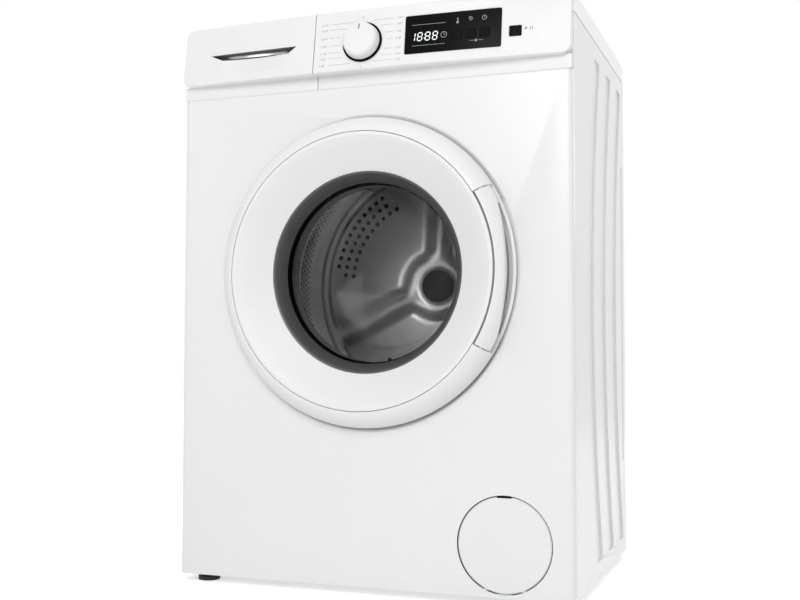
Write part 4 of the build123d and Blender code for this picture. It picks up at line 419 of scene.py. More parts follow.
# %% Inks, chrome and lit segments
INK_GRAIN_MM, INK_DEEP_MM = 0.4, 0.002
grey_ink = grained("grey_printing_ink", "#96989a", INK_GRAIN_MM, INK_DEEP_MM, ("#8e9092", "#a0a2a4"),
                   Roughness=0.6)
dark_ink = grained("dark_printing_ink", "#232425", INK_GRAIN_MM, INK_DEEP_MM, ("#1e1f20", "#2b2c2d"),
                   Roughness=0.5)
white_ink = grained("white_printing_ink", "#a8abad", INK_GRAIN_MM, INK_DEEP_MM, ("#9fa2a4", "#b4b6b8"),
                    Roughness=0.6)
segment = grained("lit_segment", "#e9edf0", grain_mm=0.5, deep_mm=0.002, roughness=(0.35, 0.45),
                  Emission_Color="#f2f6ff", Emission_Strength=0.4)
chrome = grained("chrome_foil", "#f6f7f8", grain_mm=9.0, deep_mm=0.004, roughness=(0.05, 0.09), Metallic=1.0)
print("materials", len(bpy.data.materials))

# %% [markdown]
# ## Dressing the CAD pieces
# A CAD solid has knife-sharp edges, and real edges are a little round and catch the light. Each piece
# that shows gets a copy whose flat faces are joined again, whose curves shade smoothly and whose edges
# are bevelled by a real radius. The copy stands for the CAD node and moves with the same body. A piece
# deep inside keeps its CAD mesh and only takes a finish.

# %% Copies with soft edges
SHARP = math.radians(28)
FLAT = math.radians(0.15)
MERGE_M = 0.000002
BEVEL_SEGMENTS = 2


def own(piece, body, slot, *nodes):
    """Ties a finished piece to a body and hides the nodes that it stands for. The slot is not used."""
    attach(piece, body)
    if nodes:
        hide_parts(*nodes)
    return piece


def skin(node, material, edge_mm):
    """A smooth copy of a CAD node with softened edges."""
    work = bmesh.new()
    work.from_mesh(NODES[node].data)
    bmesh.ops.remove_doubles(work, verts=work.verts, dist=MERGE_M)
    bmesh.ops.dissolve_limit(work, angle_limit=FLAT, verts=work.verts, edges=work.edges)
    mesh = bpy.data.meshes.new(node + "_skin")
    work.to_mesh(mesh)
    work.free()
    mesh.shade_smooth()
    mesh.set_sharp_from_angle(angle=SHARP)
    mesh.materials.append(material)
    piece = bpy.data.objects.new(node + "_skin", mesh)
    bpy.context.scene.collection.objects.link(piece)
    if edge_mm:
        bevel = piece.modifiers.new("edges", "BEVEL")
        bevel.width = edge_mm * MM
        bevel.segments = BEVEL_SEGMENTS
        bevel.limit_method = "ANGLE"
        bevel.angle_limit = SHARP
        bevel.harden_normals = True
    return piece


def dress(node, material, edge_mm):
    """Such a copy, tied to the body of the node that it stands for."""
    return own(skin(node, material, edge_mm), BODY_OF[node], SLOT_OF[node], node)


print("edges sharper than", round(math.degrees(SHARP)), "degrees are softened")

# %% Every piece, its finish and the radius of its edges in millimetres
DRESSED = {
    "front_panel": (enamel, 0.7), "left_side_panel": (enamel, 1.0), "right_side_panel": (enamel, 1.0),
    "worktop": (laminate, 0.8), "control_panel": (abs_white, 0.6), "drawer_front": (abs_white, 0.6),
    "door_frame": (abs_white, 0.5), "door_trim": (abs_white, 0.6), "door_handle": (abs_white, 0.7),
    "filter_flap": (abs_white, 0.5), "program_knob": (abs_white, 0.5), "knob_ring": (acrylic, 0.2),
    "display_window": (acrylic, 0.2), "start_button": (key_acrylic, 0.25),
    **{f"option_button_{key}": (key_acrylic, 0.15) for key in (1, 2, 3)},
    "door_glass": (smoked, 0.0), "door_back_ring": (polypropylene, 0.4), "hinge_bracket": (zinc, 0.3),
    "hinge_arm": (zinc, 0.3), "latch_hook": (nylon_and_painted_shade, 0.3), "drawer_tray": (polypropylene, 0.4),
    "dispenser_housing": (polypropylene, 0.4), "drum_shell": (stainless, 0.3),
    "drum_lifters": (lifter_grey_and_painted_shade, 1.5), "rear_panel": (zinc, 0.4), "rear_cover": (zinc, 0.5),
    "base_tray": (zinc, 0.4), "pump_filter": (polypropylene, 0.5), "drain_pump": (polypropylene, 0.5),
    "inlet_valve": (polypropylene, 0.3), "drain_outlet": (nylon_and_painted_shade, 0.3), "cord_gland": (nylon_and_painted_shade, 0.3),
    "transit_caps": (polypropylene, 0.4), "tub_front": (polypropylene, 0.6),
    **{f"foot_{end}_{side}": (nylon_and_painted_shade, 0.5) for end in ("front", "rear") for side in ("left", "right")},
}
PLAIN = {
    "cross_bars": zinc, "control_board": nylon_and_painted_shade, "door_lock": nylon_and_painted_shade, "damper_cylinders": stainless,
    "damper_rods": stainless, "tub_rear": polypropylene, "top_counterweight": concrete,
    "front_counterweight": concrete, "drum_bearings": stainless, "drive_motor": cast, "heater": stainless,
    "drive_belt": belt_rubber_and_painted_shade, "drum_spider": cast, "drum_shaft": stainless, "drum_pulley": cast,
    "motor_pulley": stainless,
}
skins = {node: dress(node, *look) for node, look in DRESSED.items()}
for node, material in PLAIN.items():
    NODES[node].data.materials.clear()
    NODES[node].data.materials.append(material)
print("dressed", len(skins), "plain", len(PLAIN), "of", len(NODES))

# %% [markdown]
# ## The finger well
# Beside the handle the white ring of the door is hollowed out for the fingers, and the hollow is painted
# grey as shade.
# It belongs to the ring's own mesh, so its faces are picked by their radius, their angle and their depth,
# and take a second material. No seam has to be cut, and the bevel runs on.

# %% The finger well
# How far the front sheet lies in front of the origin, and x and z of the axis of the door and the drum.
FRONT_SHEET_MM = 208.5
DOOR_AXIS = (0.0, 457.85)
WELL_INNER, WELL_OUTER, WELL_HALF_DEG, WELL_FRONT = 208.0, 218.2, 26.0, -16.0
door_ring = skins["door_frame"].data
# The grey of the hollow is painted shade.
door_ring.materials.append(well_painted_shade)
for face in door_ring.polygons:
    x, y, z = face.center / MM
    radius, angle = math.hypot(x, z - DOOR_AXIS[1]), math.degrees(math.atan2(z - DOOR_AXIS[1], x))
    beside_handle = WELL_INNER < radius < WELL_OUTER and abs(angle) < WELL_HALF_DEG
    if beside_handle and y + FRONT_SHEET_MM > WELL_FRONT:
        face.material_index = 1
print("faces in the finger well", sum(face.material_index for face in door_ring.polygons))

# %% [markdown]
# ## Making a piece from points
# The rest is built here. Points are given in millimetres as x, depth behind the front sheet, and z. Most
# pieces are rows of points, each joined to the next: a bar has two rows, a strip that changes along its
# length has many, and in a turned piece the rows go all the way round an axis.

# %% Points and the faces between them
def spot(x, depth, z):
    """A point in metres from x, depth behind the front sheet and z in millimetres."""
    return Vector((x, depth - FRONT_SHEET_MM, z)) * MM


def about_axis(radius, angle, depth):
    """A point at a radius and an angle about the axis of the door and the drum."""
    return spot(DOOR_AXIS[0] + radius * math.cos(angle), depth, DOOR_AXIS[1] + radius * math.sin(angle))


def joined(rows, count, go_round=False):
    """Faces between rows of so many points each. The two ends are capped, unless the rows go round."""
    faces = []
    for row in range(rows if go_round else rows - 1):
        here, there = row * count, (row + 1) % rows * count
        for i in range(count):
            k = (i + 1) % count
            faces.append((here + i, here + k, there + k, there + i))
    if not go_round:
        faces += [tuple(range(count)), tuple(range((rows - 1) * count, rows * count))]
    return faces


def box_corners(xs, depths, zs):
    """The corners of a box between two values of x, of depth and of z."""
    (left, right), (low, high) = xs, zs
    return [spot(x, depth, z) for depth in depths
            for x, z in ((left, low), (right, low), (right, high), (left, high))]


BOX_FACES = joined(2, 4)
print("a box has", len(BOX_FACES), "faces")

# %% From points to a piece
def settle(name, work, material):
    """Closes a bmesh into a smooth object with outward faces and one material."""
    bmesh.ops.recalc_face_normals(work, faces=work.faces)
    mesh = bpy.data.meshes.new(name)
    work.to_mesh(mesh)
    work.free()
    mesh.shade_smooth()
    mesh.set_sharp_from_angle(angle=SHARP)
    mesh.materials.clear()
    mesh.materials.append(material)
    piece = bpy.data.objects.new(name, mesh)
    bpy.context.scene.collection.objects.link(piece)
    return piece


def shape(name, points, faces, material):
    """A piece from points in metres and faces that name them."""
    work = bmesh.new()
    corners = [work.verts.new(point) for point in points]
    for face in faces:
        work.faces.new([corners[i] for i in face])
    return settle(name, work, material)


def turned(name, outline, axis_at, material, steps, upright=False):
    """A closed outline of radius and height carried round an axis that runs back, or up."""
    points = []
    for step in range(steps):
        angle = 2 * math.pi * step / steps
        for radius, height in outline:
            first, second = axis_at[0] + radius * math.cos(angle), axis_at[1] + radius * math.sin(angle)
            points.append(spot(first, second, height) if upright else spot(first, height, second))
    return shape(name, points, joined(steps, len(outline), go_round=True), material)


print("curves shade smoothly up to", round(math.degrees(SHARP)), "degrees")

# %% [markdown]
# ## Printing on a face
# Print is a flat drawing dropped onto a face by casting a ray at every corner, so that it follows the
# bowed panel. A picture of the print would blur close up, while polygons stay sharp. Lines are cut into
# short lengths first, so that they bend with the face, and the film has a thickness, so that it is closed.

# %% Lines and figures as flat drawings
PRINT_STEP_MM = 8.0
# The height of a figure as a share of Blender's text size.
FIGURE_SHARE = 0.73
FIGURE_CURVE_STEPS = 3


def stroke(points, width):
    """A line of a given width through points, as short four-sided pieces."""
    pieces = []
    for (x0, z0), (x1, z1) in zip(points, points[1:]):
        length = math.hypot(x1 - x0, z1 - z0)
        dx, dz = (z1 - z0) / length * width / 2, (x0 - x1) / length * width / 2
        parts = max(1, math.ceil(length / PRINT_STEP_MM))
        for i in range(parts):
            a, b = i / parts, (i + 1) / parts
            xa, za, xb, zb = x0 + (x1 - x0) * a, z0 + (z1 - z0) * a, x0 + (x1 - x0) * b, z0 + (z1 - z0) * b
            pieces.append([(xa - dx, za - dz), (xb - dx, zb - dz), (xb + dx, zb + dz), (xa + dx, za + dz)])
    return pieces


def arc(x, z, radius, start, end, steps):
    """Points on a circle between two angles in degrees."""
    turns = [math.radians(start + (end - start) * i / steps) for i in range(steps + 1)]
    return [(x + radius * math.cos(t), z + radius * math.sin(t)) for t in turns]


def lettering(text, x, z, height, align):
    """Figures in Blender's own typeface as polygons, with their left, middle or right foot at x and z."""
    curve = bpy.data.curves.new("figures", "FONT")
    curve.body = text
    curve.size = height / FIGURE_SHARE
    curve.align_x = align
    curve.resolution_u = FIGURE_CURVE_STEPS
    holder = bpy.data.objects.new("figures", curve)
    bpy.context.scene.collection.objects.link(holder)
    flat = bpy.data.meshes.new_from_object(holder.evaluated_get(bpy.context.evaluated_depsgraph_get()))
    places = [(x + vertex.co.x, z + vertex.co.y) for vertex in flat.vertices]
    bpy.data.objects.remove(holder)
    return [[places[i] for i in face.vertices] for face in flat.polygons]


print("lines are cut every", PRINT_STEP_MM, "mm")

# %% Dropping a drawing onto a face
PRINT_LIFT_MM = 0.05
RAY_FRONT_MM = -150.0
BACKWARD = Vector((0, 1, 0))


def face_tree(node):
    """The faces of a dressed piece, ready for casting rays."""
    shown = skins[node].evaluated_get(bpy.context.evaluated_depsgraph_get())
    corners = [vertex.co.copy() for vertex in shown.data.vertices]
    return BVHTree.FromPolygons(corners, [tuple(face.vertices) for face in shown.data.polygons])


def printed(name, drawing, tree, material, body, slot):
    """A drawing, polygons of x and z in millimetres, dropped onto a face as a film of ink."""
    work = bmesh.new()
    dropped = {}
    for polygon in drawing:
        corners = []
        for x, z in polygon:
            key = (round(x, 3), round(z, 3))
            if key not in dropped:
                hit = tree.ray_cast(spot(x, RAY_FRONT_MM, z), BACKWARD)[0]
                dropped[key] = work.verts.new(hit - BACKWARD * PRINT_LIFT_MM * MM)
            corners.append(dropped[key])
        if len(set(corners)) == len(corners) and not work.faces.get(corners):
            work.faces.new(corners)
    bmesh.ops.recalc_face_normals(work, faces=work.faces)
    bmesh.ops.solidify(work, geom=work.faces[:], thickness=-PRINT_LIFT_MM / 2 * MM)
    return own(settle(name, work, material), body, slot)


print("print stands", PRINT_LIFT_MM, "mm proud")

# %% [markdown]
# ## Setting one shape on many points
# Drum holes and screws are one small shape, repeated. Geometry Nodes does that: every point of a mesh
# carries the direction that its copy faces, and the tree sets a copy there, turned that way. Every tree
# ends as real mesh with a material, because instances would be lost in the export.

# %% Setting one shape on many points
def new_tree(name, **inputs):
    """A node tree with these inputs and one geometry as its output, and the sockets of the inputs."""
    tree = bpy.data.node_groups.new(name, "GeometryNodeTree")
    for socket, kind in inputs.items():
        tree.interface.new_socket(socket, in_out="INPUT", socket_type="NodeSocket" + kind)
    tree.interface.new_socket("Geometry", in_out="OUTPUT", socket_type="NodeSocketGeometry")
    return tree, add_node(tree, "NodeGroupInput").outputs


def end_tree(tree, geometry, finish):
    """Ends a tree: its copies become real mesh, and the mesh takes its material."""
    real = add_node(tree, "GeometryNodeRealizeInstances", {"Geometry": geometry})
    paint = add_node(tree, "GeometryNodeSetMaterial",
                     {"Geometry": real.outputs["Geometry"], "Material": finish})
    add_node(tree, "NodeGroupOutput", {"Geometry": paint.outputs["Geometry"]})


repeat_tree, given = new_tree("set_on_points", Points="Geometry", Shape="Object", Finish="Material")
original = add_node(repeat_tree, "GeometryNodeObjectInfo", {"Object": given["Shape"]})
facing = add_node(repeat_tree, "GeometryNodeInputNamedAttribute", {"Name": "facing"},
                  data_type="FLOAT_VECTOR")
aim = add_node(repeat_tree, "FunctionNodeAlignRotationToVector",
               {"Vector": facing.outputs["Attribute"]}, axis="Z")
copies = add_node(repeat_tree, "GeometryNodeInstanceOnPoints",
                  {"Points": given["Points"], "Instance": original.outputs["Geometry"],
                   "Rotation": aim.outputs["Rotation"]})
end_tree(repeat_tree, copies.outputs["Instances"], given["Finish"])
print("node tree", repeat_tree.name, "with", len(repeat_tree.nodes), "nodes")

# %% [markdown]
# ## Winding a wire
# A spring and a screw thread are both a wire laid along a helix. The tree draws the helix as a spiral
# that keeps its radius, and carries a small circle along it. Changing a coil is then a matter of five
# values, where a mesh would have to be drawn again.

# %% Winding a wire
COIL_STEPS, WIRE_SIDES = 20, 8
coil_tree, given = new_tree("wound_wire", Turns="Float", Radius="Float", Rise="Float", Wire="Float",
                            Finish="Material")
helix = add_node(coil_tree, "GeometryNodeCurveSpiral",
                 {"Resolution": COIL_STEPS, "Rotations": given["Turns"], "Start Radius": given["Radius"],
                  "End Radius": given["Radius"], "Height": given["Rise"]})
wire = add_node(coil_tree, "GeometryNodeCurvePrimitiveCircle",
                {"Resolution": WIRE_SIDES, "Radius": given["Wire"]})
wound = add_node(coil_tree, "GeometryNodeCurveToMesh",
                 {"Curve": helix.outputs["Curve"], "Profile Curve": wire.outputs["Curve"],
                  "Fill Caps": True})
end_tree(coil_tree, wound.outputs["Mesh"], given["Finish"])
print("node tree", coil_tree.name, "with", len(coil_tree.nodes), "nodes")

# %% [markdown]
# ## Running the trees
# A tree runs as a modifier on a holder object. The result is kept as a plain mesh and the holder is
# thrown away, because each piece rides on its own body and the frame wants finished meshes.

# %% Running the trees
def grown(name, mesh, tree, values, material, places):
    """Runs a node tree on a mesh and keeps the result, once at each place, as one plain piece."""
    holder = bpy.data.objects.new(name + "_nodes", mesh)
    bpy.context.scene.collection.objects.link(holder)
    maker = holder.modifiers.new("nodes", "NODES")
    maker.node_group = tree
    inputs = {item.name: item.identifier for item in tree.interface.items_tree if item.in_out == "INPUT"}
    for socket, value in values.items():
        maker[inputs[socket]] = value
    made = bpy.data.meshes.new_from_object(holder.evaluated_get(bpy.context.evaluated_depsgraph_get()))
    bpy.data.objects.remove(holder)
    work = bmesh.new()
    for place in places:
        copy = made.copy()
        copy.transform(place)
        work.from_mesh(copy)
    return settle(name, work, material)


def scattered(name, points, facings, pattern, material):
    """One small pattern set on every point, turned to face its own way."""
    mesh = bpy.data.meshes.new(name + "_points")
    mesh.from_pydata(points, [], [])
    facing = mesh.attributes.new("facing", "FLOAT_VECTOR", "POINT")
    facing.data.foreach_set("vector", [part for direction in facings for part in direction])
    return grown(name, mesh, repeat_tree, {"Shape": pattern, "Finish": material}, material, [Matrix()])


def pattern_of(name, outline, sides):
    """A small turned shape round z, capped at both ends, kept out of the scene as a pattern for copies."""
    turns = [2 * math.pi * i / sides for i in range(sides)]
    points = [Vector((r * math.cos(t), r * math.sin(t), h)) * MM for r, h in outline for t in turns]
    mesh = bpy.data.meshes.new(name)
    mesh.from_pydata(points, [], joined(len(outline), sides))
    return bpy.data.objects.new(name, mesh)


def coiled(name, turns, radius, rise, wire_radius, material, places):
    """A wire wound into a coil, with its sizes in millimetres, and set at each place."""
    values = {"Turns": turns, "Radius": radius * MM, "Rise": rise * MM, "Wire": wire_radius * MM,
              "Finish": material}
    return grown(name, bpy.data.meshes.new("no_points"), coil_tree, values, material, places)


print("node groups", len(bpy.data.node_groups))

# %% [markdown]
# ## The dark rim of the glass
# Inside the white funnel the glass is held by a dark grey rim that slopes inwards, and behind it lies a
# narrow black ring where the bowl begins. Each is one outline turned about the door's axis, which a lathe
# would do too, and both swing with the door.

# %% The dark rim of the glass
RIM_STEPS = 144
GREY_RIM = [(144.6, -4.2), (142.4, -3.4), (139.5, 1.0), (131.5, 16.0), (132.0, 16.8), (140.0, 16.6),
            (145.0, 1.6), (144.8, -3.0)]
BLACK_RIM = [(131.5, 16.9), (128.6, 26.0), (129.6, 27.4), (134.0, 27.4), (139.6, 17.2)]
own(turned("glass_rim_grey", GREY_RIM, DOOR_AXIS, bezel_grey, RIM_STEPS), "door", "dark_plastic")
own(turned("glass_rim_black", BLACK_RIM, DOOR_AXIS, acrylic, RIM_STEPS), "door", "black_plastic")
print("rims", len(GREY_RIM), len(BLACK_RIM))

# %% [markdown]
# ## The drum's back
# The back of the drum is a stainless disc, pressed into three broad petals with valleys between them
# where the spider's arms bolt on behind. Seen through the glass it makes most of the picture. Its height
# is worked out on a grid of rings and spokes, because one formula gives every slope a soft foot and head,
# and the back is closed with a flat disc.

# %% The drum's back
BACK_AT, BACK_R, BACK_THICK = 330.0, 234.0, 0.4
RINGS, SPOKES = 60, 180
VALLEYS_DEG = (85.0, 205.0, 325.0)
PETAL_MM, RING_MM = 13.0, 4.0
VALLEY_FLAT, VALLEY_WIDE, VALLEY_FLARE = 1.0, 24.0, 0.07
# The radii between which the pressing rises or falls.
HUB_EDGE, PETAL_RISE = (29.0, 33.0), (38.0, 66.0)
PETAL_FALL, RING_FALL = (190.0, 204.0), (211.0, 218.0)
HUB_CAP = [(0.6, 326.0), (18.0, 326.6), (27.5, 328.6), (28.0, 329.9), (0.6, 329.9)]
HUB_STEPS = 64


def ease(low, high, value):
    """0 below low, 1 above high and a smooth rise between."""
    t = min(1.0, max(0.0, (value - low) / (high - low)))
    return t * t * (3 - 2 * t)


def back_height(radius, angle):
    """How far the pressing stands forward of the drum's flat back."""
    off = min(abs(math.remainder(angle - math.radians(v), 2 * math.pi)) for v in VALLEYS_DEG)
    aside = radius * math.sin(min(off, math.pi / 2))
    petal = ease(VALLEY_FLAT, VALLEY_WIDE + VALLEY_FLARE * radius, aside)
    petal *= ease(*PETAL_RISE, radius) * (1 - ease(*PETAL_FALL, radius))
    return (RING_MM * (1 - ease(*RING_FALL, radius)) + PETAL_MM * petal) * ease(*HUB_EDGE, radius)


spokes = [2 * math.pi * spoke / SPOKES for spoke in range(SPOKES)]
points = []
for ring in range(1, RINGS + 1):
    radius = BACK_R * ring / RINGS
    points += [about_axis(radius, angle, BACK_AT - back_height(radius, angle)) for angle in spokes]
points += [about_axis(BACK_R, angle, BACK_AT + BACK_THICK) for angle in spokes]
own(shape("drum_back_pressing", points, joined(RINGS + 1, SPOKES), stainless), "drum", "stainless_steel")
# The hub is a black disc: painted shade and dark reflection for the hollow of the steel hub.
own(turned("drum_hub_cap", HUB_CAP, DOOR_AXIS, nylon_and_painted_shade, HUB_STEPS), "drum", "stainless_steel")
print("pressing", len(points), "points")

# %% [markdown]
# ## The drum's holes
# Water leaves the drum through thousands of small holes, punched in staggered rows, each with a pressed
# lip. Real openings would make the drum's mesh far too heavy, so a hole is a small black disc with a low
# lip, set on the steel; its black is painted shade for the dark seen through the opening. The wall's rows
# leave out the strips under the three lifters, and a patch of larger holes sits on every petal.

# %% The holes of the wall
WALL_R, WALL_FROM, WALL_ROWS, WALL_PITCH_MM = 235.5, 104.0, 23, 9.5
LIFTERS, LIFTER_HALF_DEG = 3, 9.0
# Each hole is a black disc, painted shade for the dark behind the opening.
wall_hole = pattern_of("wall_hole", [(2.3, -0.1), (2.0, 0.35), (1.5, 0.1)], sides=8)
columns = round(2 * math.pi * WALL_R / WALL_PITCH_MM)
points, facings = [], []
for row in range(WALL_ROWS):
    for column in range(columns):
        angle = 2 * math.pi * (column + 0.5 * (row % 2)) / columns
        if abs(math.remainder(math.degrees(angle), 360 / LIFTERS)) > LIFTER_HALF_DEG:
            points.append(about_axis(WALL_R, angle, WALL_FROM + row * WALL_PITCH_MM))
            facings.append((-math.cos(angle), 0.0, -math.sin(angle)))
own(scattered("drum_wall_holes", points, facings, wall_hole, nylon_and_painted_shade), "drum", "stainless_steel")
print("holes in the wall", len(points))

# %% The holes of the petals
PETALS_DEG = (145.0, 25.0, 265.0)
PETAL_ROWS_R = (150.0, 165.0, 180.0)
PETAL_PITCH_MM, PETAL_REACH, PETAL_LIFT_MM = 14.5, 5, 0.05
# These holes too are black discs, painted shade for the dark behind the opening.
petal_hole = pattern_of("petal_hole", [(4.2, -0.3), (3.7, 0.6), (2.9, 0.2)], sides=10)
points = []
for petal in PETALS_DEG:
    for row, radius in enumerate(PETAL_ROWS_R):
        for column in range(-PETAL_REACH, PETAL_REACH + 1):
            angle = math.radians(petal) + (column + 0.5 * (row % 2)) * PETAL_PITCH_MM / radius
            points.append(about_axis(radius, angle, BACK_AT - back_height(radius, angle) - PETAL_LIFT_MM))
facings = [-BACKWARD] * len(points)
own(scattered("drum_petal_holes", points, facings, petal_hole, nylon_and_painted_shade), "drum", "stainless_steel")
print("holes on the petals", len(points))

# %% [markdown]
# ## The lifters' ribs
# The three lifters carry the wash up the drum's wall, and short ribs across their crests keep it from
# sliding off. A ray from the drum's axis finds the crest, and bars are set along it at an even pitch.
# Each bar is narrower at its top, as a moulded rib has to be to leave its tool.

# %% The lifters' ribs
RIBS, RIB_FROM, RIB_PITCH_MM = 13, 122.0, 15.0
RIB_HALF_WIDE, RIB_HALF_LONG = 8.0, 1.4
RIB_HIGH, RIB_SUNK, RIB_TOP_SHARE = 1.5, 0.3, 0.7
crest_tree = face_tree("drum_lifters")
points, faces = [], []
for lifter in range(LIFTERS):
    angle = 2 * math.pi * lifter / LIFTERS
    outward = Vector((math.cos(angle), 0, math.sin(angle)))
    aside = Vector((-math.sin(angle), 0, math.cos(angle)))
    for rib in range(RIBS):
        crest = crest_tree.ray_cast(spot(0, RIB_FROM + rib * RIB_PITCH_MM, DOOR_AXIS[1]), outward)[0]
        faces += [tuple(len(points) + i for i in face) for face in BOX_FACES]
        for rise, share in ((RIB_SUNK, 1.0), (-RIB_HIGH, RIB_TOP_SHARE)):
            for wide, long in ((-1, -1), (1, -1), (1, 1), (-1, 1)):
                step = aside * (wide * RIB_HALF_WIDE) + BACKWARD * (long * RIB_HALF_LONG)
                points.append(crest + (outward * rise + step * share) * MM)
own(shape("lifter_ribs", points, faces, lifter_grey_and_painted_shade), BODY_OF["drum_lifters"], SLOT_OF["drum_lifters"])
print("ribs", LIFTERS * RIBS)

# %% [markdown]
# ## Springs, hoses and the seal
# The tub hangs from two coil springs, a rubber bellows seals it to the door opening, and two ribbed
# hoses join it to the drawer above and the pump below. The CAD keeps plain sleeves for springs and hoses.
# Here the springs are wound wire and the hoses are turned with a rib every few millimetres.

# %% The springs
SPRING_WIRE_R, SPRING_PITCH_MM = 2.1, 10.0


def sleeve(node):
    """The middle, half width, foot and head of an upright sleeve in millimetres."""
    low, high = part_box(node)
    middle = ((low[0] + high[0]) / 2 / MM, (low[1] + high[1]) / 2 / MM + FRONT_SHEET_MM)
    return middle, (high[1] - low[1]) / 2 / MM, low[2] / MM, high[2] / MM


def bridge(piece, node, cabinet_end, tub_end):
    """A piece in the place of a node: its place is baked into its mesh and the node is hidden. The two ends
    are not used.
    """
    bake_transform(piece)
    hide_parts(node)


middle, half, foot, head = sleeve("suspension_springs")
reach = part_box("suspension_springs")[1][0] / MM - half
turns = (head - foot) / SPRING_PITCH_MM
stands = [Matrix.Translation(spot(side * reach, middle[1], foot + SPRING_WIRE_R)) for side in (-1, 1)]
springs = coiled("hanging_springs", turns, half - SPRING_WIRE_R, head - foot - 2 * SPRING_WIRE_R,
                 SPRING_WIRE_R, zinc, stands)
bridge(springs, "suspension_springs", spot(0, middle[1], head), spot(0, middle[1], foot))
print("springs", round(turns, 1), "turns each")

# %% The hoses and the seal
HOSE_RIB_MM, HOSE_RIB_DEEP_MM, HOSE_WALL_MM = 7.0, 1.6, 3.0
HOSE_RIB_STEPS, HOSE_SIDES = 8, 32
SEAL_FRONT, SEAL_BACK = 56.0, 74.0
for node, tub_is_below in (("dispenser_hose", True), ("sump_hose", False)):
    middle, half, foot, head = sleeve(node)
    steps = round((head - foot) / HOSE_RIB_MM) * HOSE_RIB_STEPS
    outer = []
    for i in range(steps + 1):
        wave = HOSE_RIB_DEEP_MM * math.cos(2 * math.pi * i / HOSE_RIB_STEPS)
        outer.append((half - HOSE_RIB_DEEP_MM + wave, foot + (head - foot) * i / steps))
    inner = [(radius - HOSE_WALL_MM, z) for radius, z in reversed(outer)]
    hose = turned(node + "_ribbed", outer + inner, middle, epdm, HOSE_SIDES, upright=True)
    ends = [spot(*middle, head), spot(*middle, foot)]
    bridge(hose, node, *(ends if tub_is_below else reversed(ends)))
    print(node, steps // HOSE_RIB_STEPS, "ribs")
seal_ends = [about_axis(0, 0, depth) for depth in (SEAL_FRONT, SEAL_BACK)]
bridge(skin("door_seal", epdm, 0), "door_seal", *seal_ends)

# %% [markdown]
# ## The inlet's thread
# The water hose screws onto a threaded spout at the back. The thread is the same wound wire as a spring,
# laid down so that its axis points back. It is sunk until it is level with the outside of the spout,
# which keeps the spout at its CAD size.

# %% The inlet's thread
INLET_AT, THREAD_FROM = (-190.0, 758.0), 443.0
THREAD_TURNS, THREAD_R, THREAD_LONG, THREAD_WIRE_R = 4.0, 12.6, 8.0, 0.6
laid_down = Matrix.Rotation(-math.pi / 2, 4, "X")
stand = Matrix.Translation(spot(INLET_AT[0], THREAD_FROM, INLET_AT[1])) @ laid_down
thread = coiled("inlet_thread", THREAD_TURNS, THREAD_R, THREAD_LONG, THREAD_WIRE_R, polypropylene, [stand])
own(thread, "cabinet", "light_plastic")
print("thread", THREAD_TURNS, "turns")

# %% [markdown]
# ## The drawer's grip
# Fingers reach up behind the drawer's front through a boat-shaped slot. Its inside is painted dark grey as
# shade, and along the back runs a bright strip that leans forward, so it mirrors the light from in front and
# below. The dark sheet at the back is a box, and the roof and the strip are rows of points along the slot.

# %% The shade sheet and the shaded roof of the grip
SHADE_SHEET_AT, SHADE_SHEET_THICK = 7.5, 0.3
SHADE_SHEET_X, SHADE_SHEET_Z = (-246.0, -111.0), (783.4, 803.0)
ROOF_FROM, ROOF_TO, ROOF_STEPS = -251.0, -106.0, 12
ROOF_Z, ROOF_THICK, ROOF_BEHIND, ROOF_PROBE = 791.65, 0.25, 0.7, 2.0
# A dark grey sheet at the back of the slot, painted shade.
shade_sheet = box_corners(SHADE_SHEET_X, (SHADE_SHEET_AT, SHADE_SHEET_AT + SHADE_SHEET_THICK), SHADE_SHEET_Z)
own(shape("grip_lining", shade_sheet, BOX_FACES, lifter_grey_and_painted_shade), "drawer", "white_plastic")
# The roof under the lip is dark grey as painted shade.
drawer_tree = face_tree("drawer_front")
points = []
for i in range(ROOF_STEPS + 1):
    x = ROOF_FROM + (ROOF_TO - ROOF_FROM) * i / ROOF_STEPS
    hit = drawer_tree.ray_cast(spot(x, RAY_FRONT_MM, ROOF_Z + ROOF_PROBE), BACKWARD)[0]
    front = hit.y / MM + FRONT_SHEET_MM + ROOF_BEHIND
    points += [spot(x, front, ROOF_Z), spot(x, SHADE_SHEET_AT, ROOF_Z),
               spot(x, SHADE_SHEET_AT, ROOF_Z + ROOF_THICK), spot(x, front, ROOF_Z + ROOF_THICK)]
own(shape("grip_roof", points, joined(ROOF_STEPS + 1, 4), lifter_grey_and_painted_shade), "drawer", "white_plastic")
print("grip roof", ROOF_TO - ROOF_FROM, "mm long")

# %% The strip of the grip
STRIP_FROM, STRIP_TO, STRIP_STEPS = -229.0, -128.0, 24
STRIP_FOOT, STRIP_HEAD = 788.4, 793.6
# Each point of the profile is a share of half the height, and a distance in front of the shade sheet.
STRIP_PROFILE = [(-1, 0.6), (-0.5, 1.1), (0, 1.7), (0.5, 2.4), (1, 3.2), (1, 0.1), (-1, 0.1)]
TIP_ROUND, TIP_LEAST, TIP_DROP_MM = 14.0, 0.05, 0.8
points = []
for i in range(STRIP_STEPS + 1):
    along = i / STRIP_STEPS
    taper = min(1.0, math.sqrt(min(along, 1 - along) * TIP_ROUND) + TIP_LEAST)
    centre = (STRIP_FOOT + STRIP_HEAD) / 2 - (1 - taper) * TIP_DROP_MM
    half = (STRIP_HEAD - STRIP_FOOT) / 2 * taper
    x = STRIP_FROM + (STRIP_TO - STRIP_FROM) * along
    points += [spot(x, SHADE_SHEET_AT - out, centre + half * up) for up, out in STRIP_PROFILE]
faces = joined(STRIP_STEPS + 1, len(STRIP_PROFILE))
own(shape("grip_strip", points, faces, chrome), "drawer", "white_plastic")
print("grip strip", STRIP_TO - STRIP_FROM, "mm long")

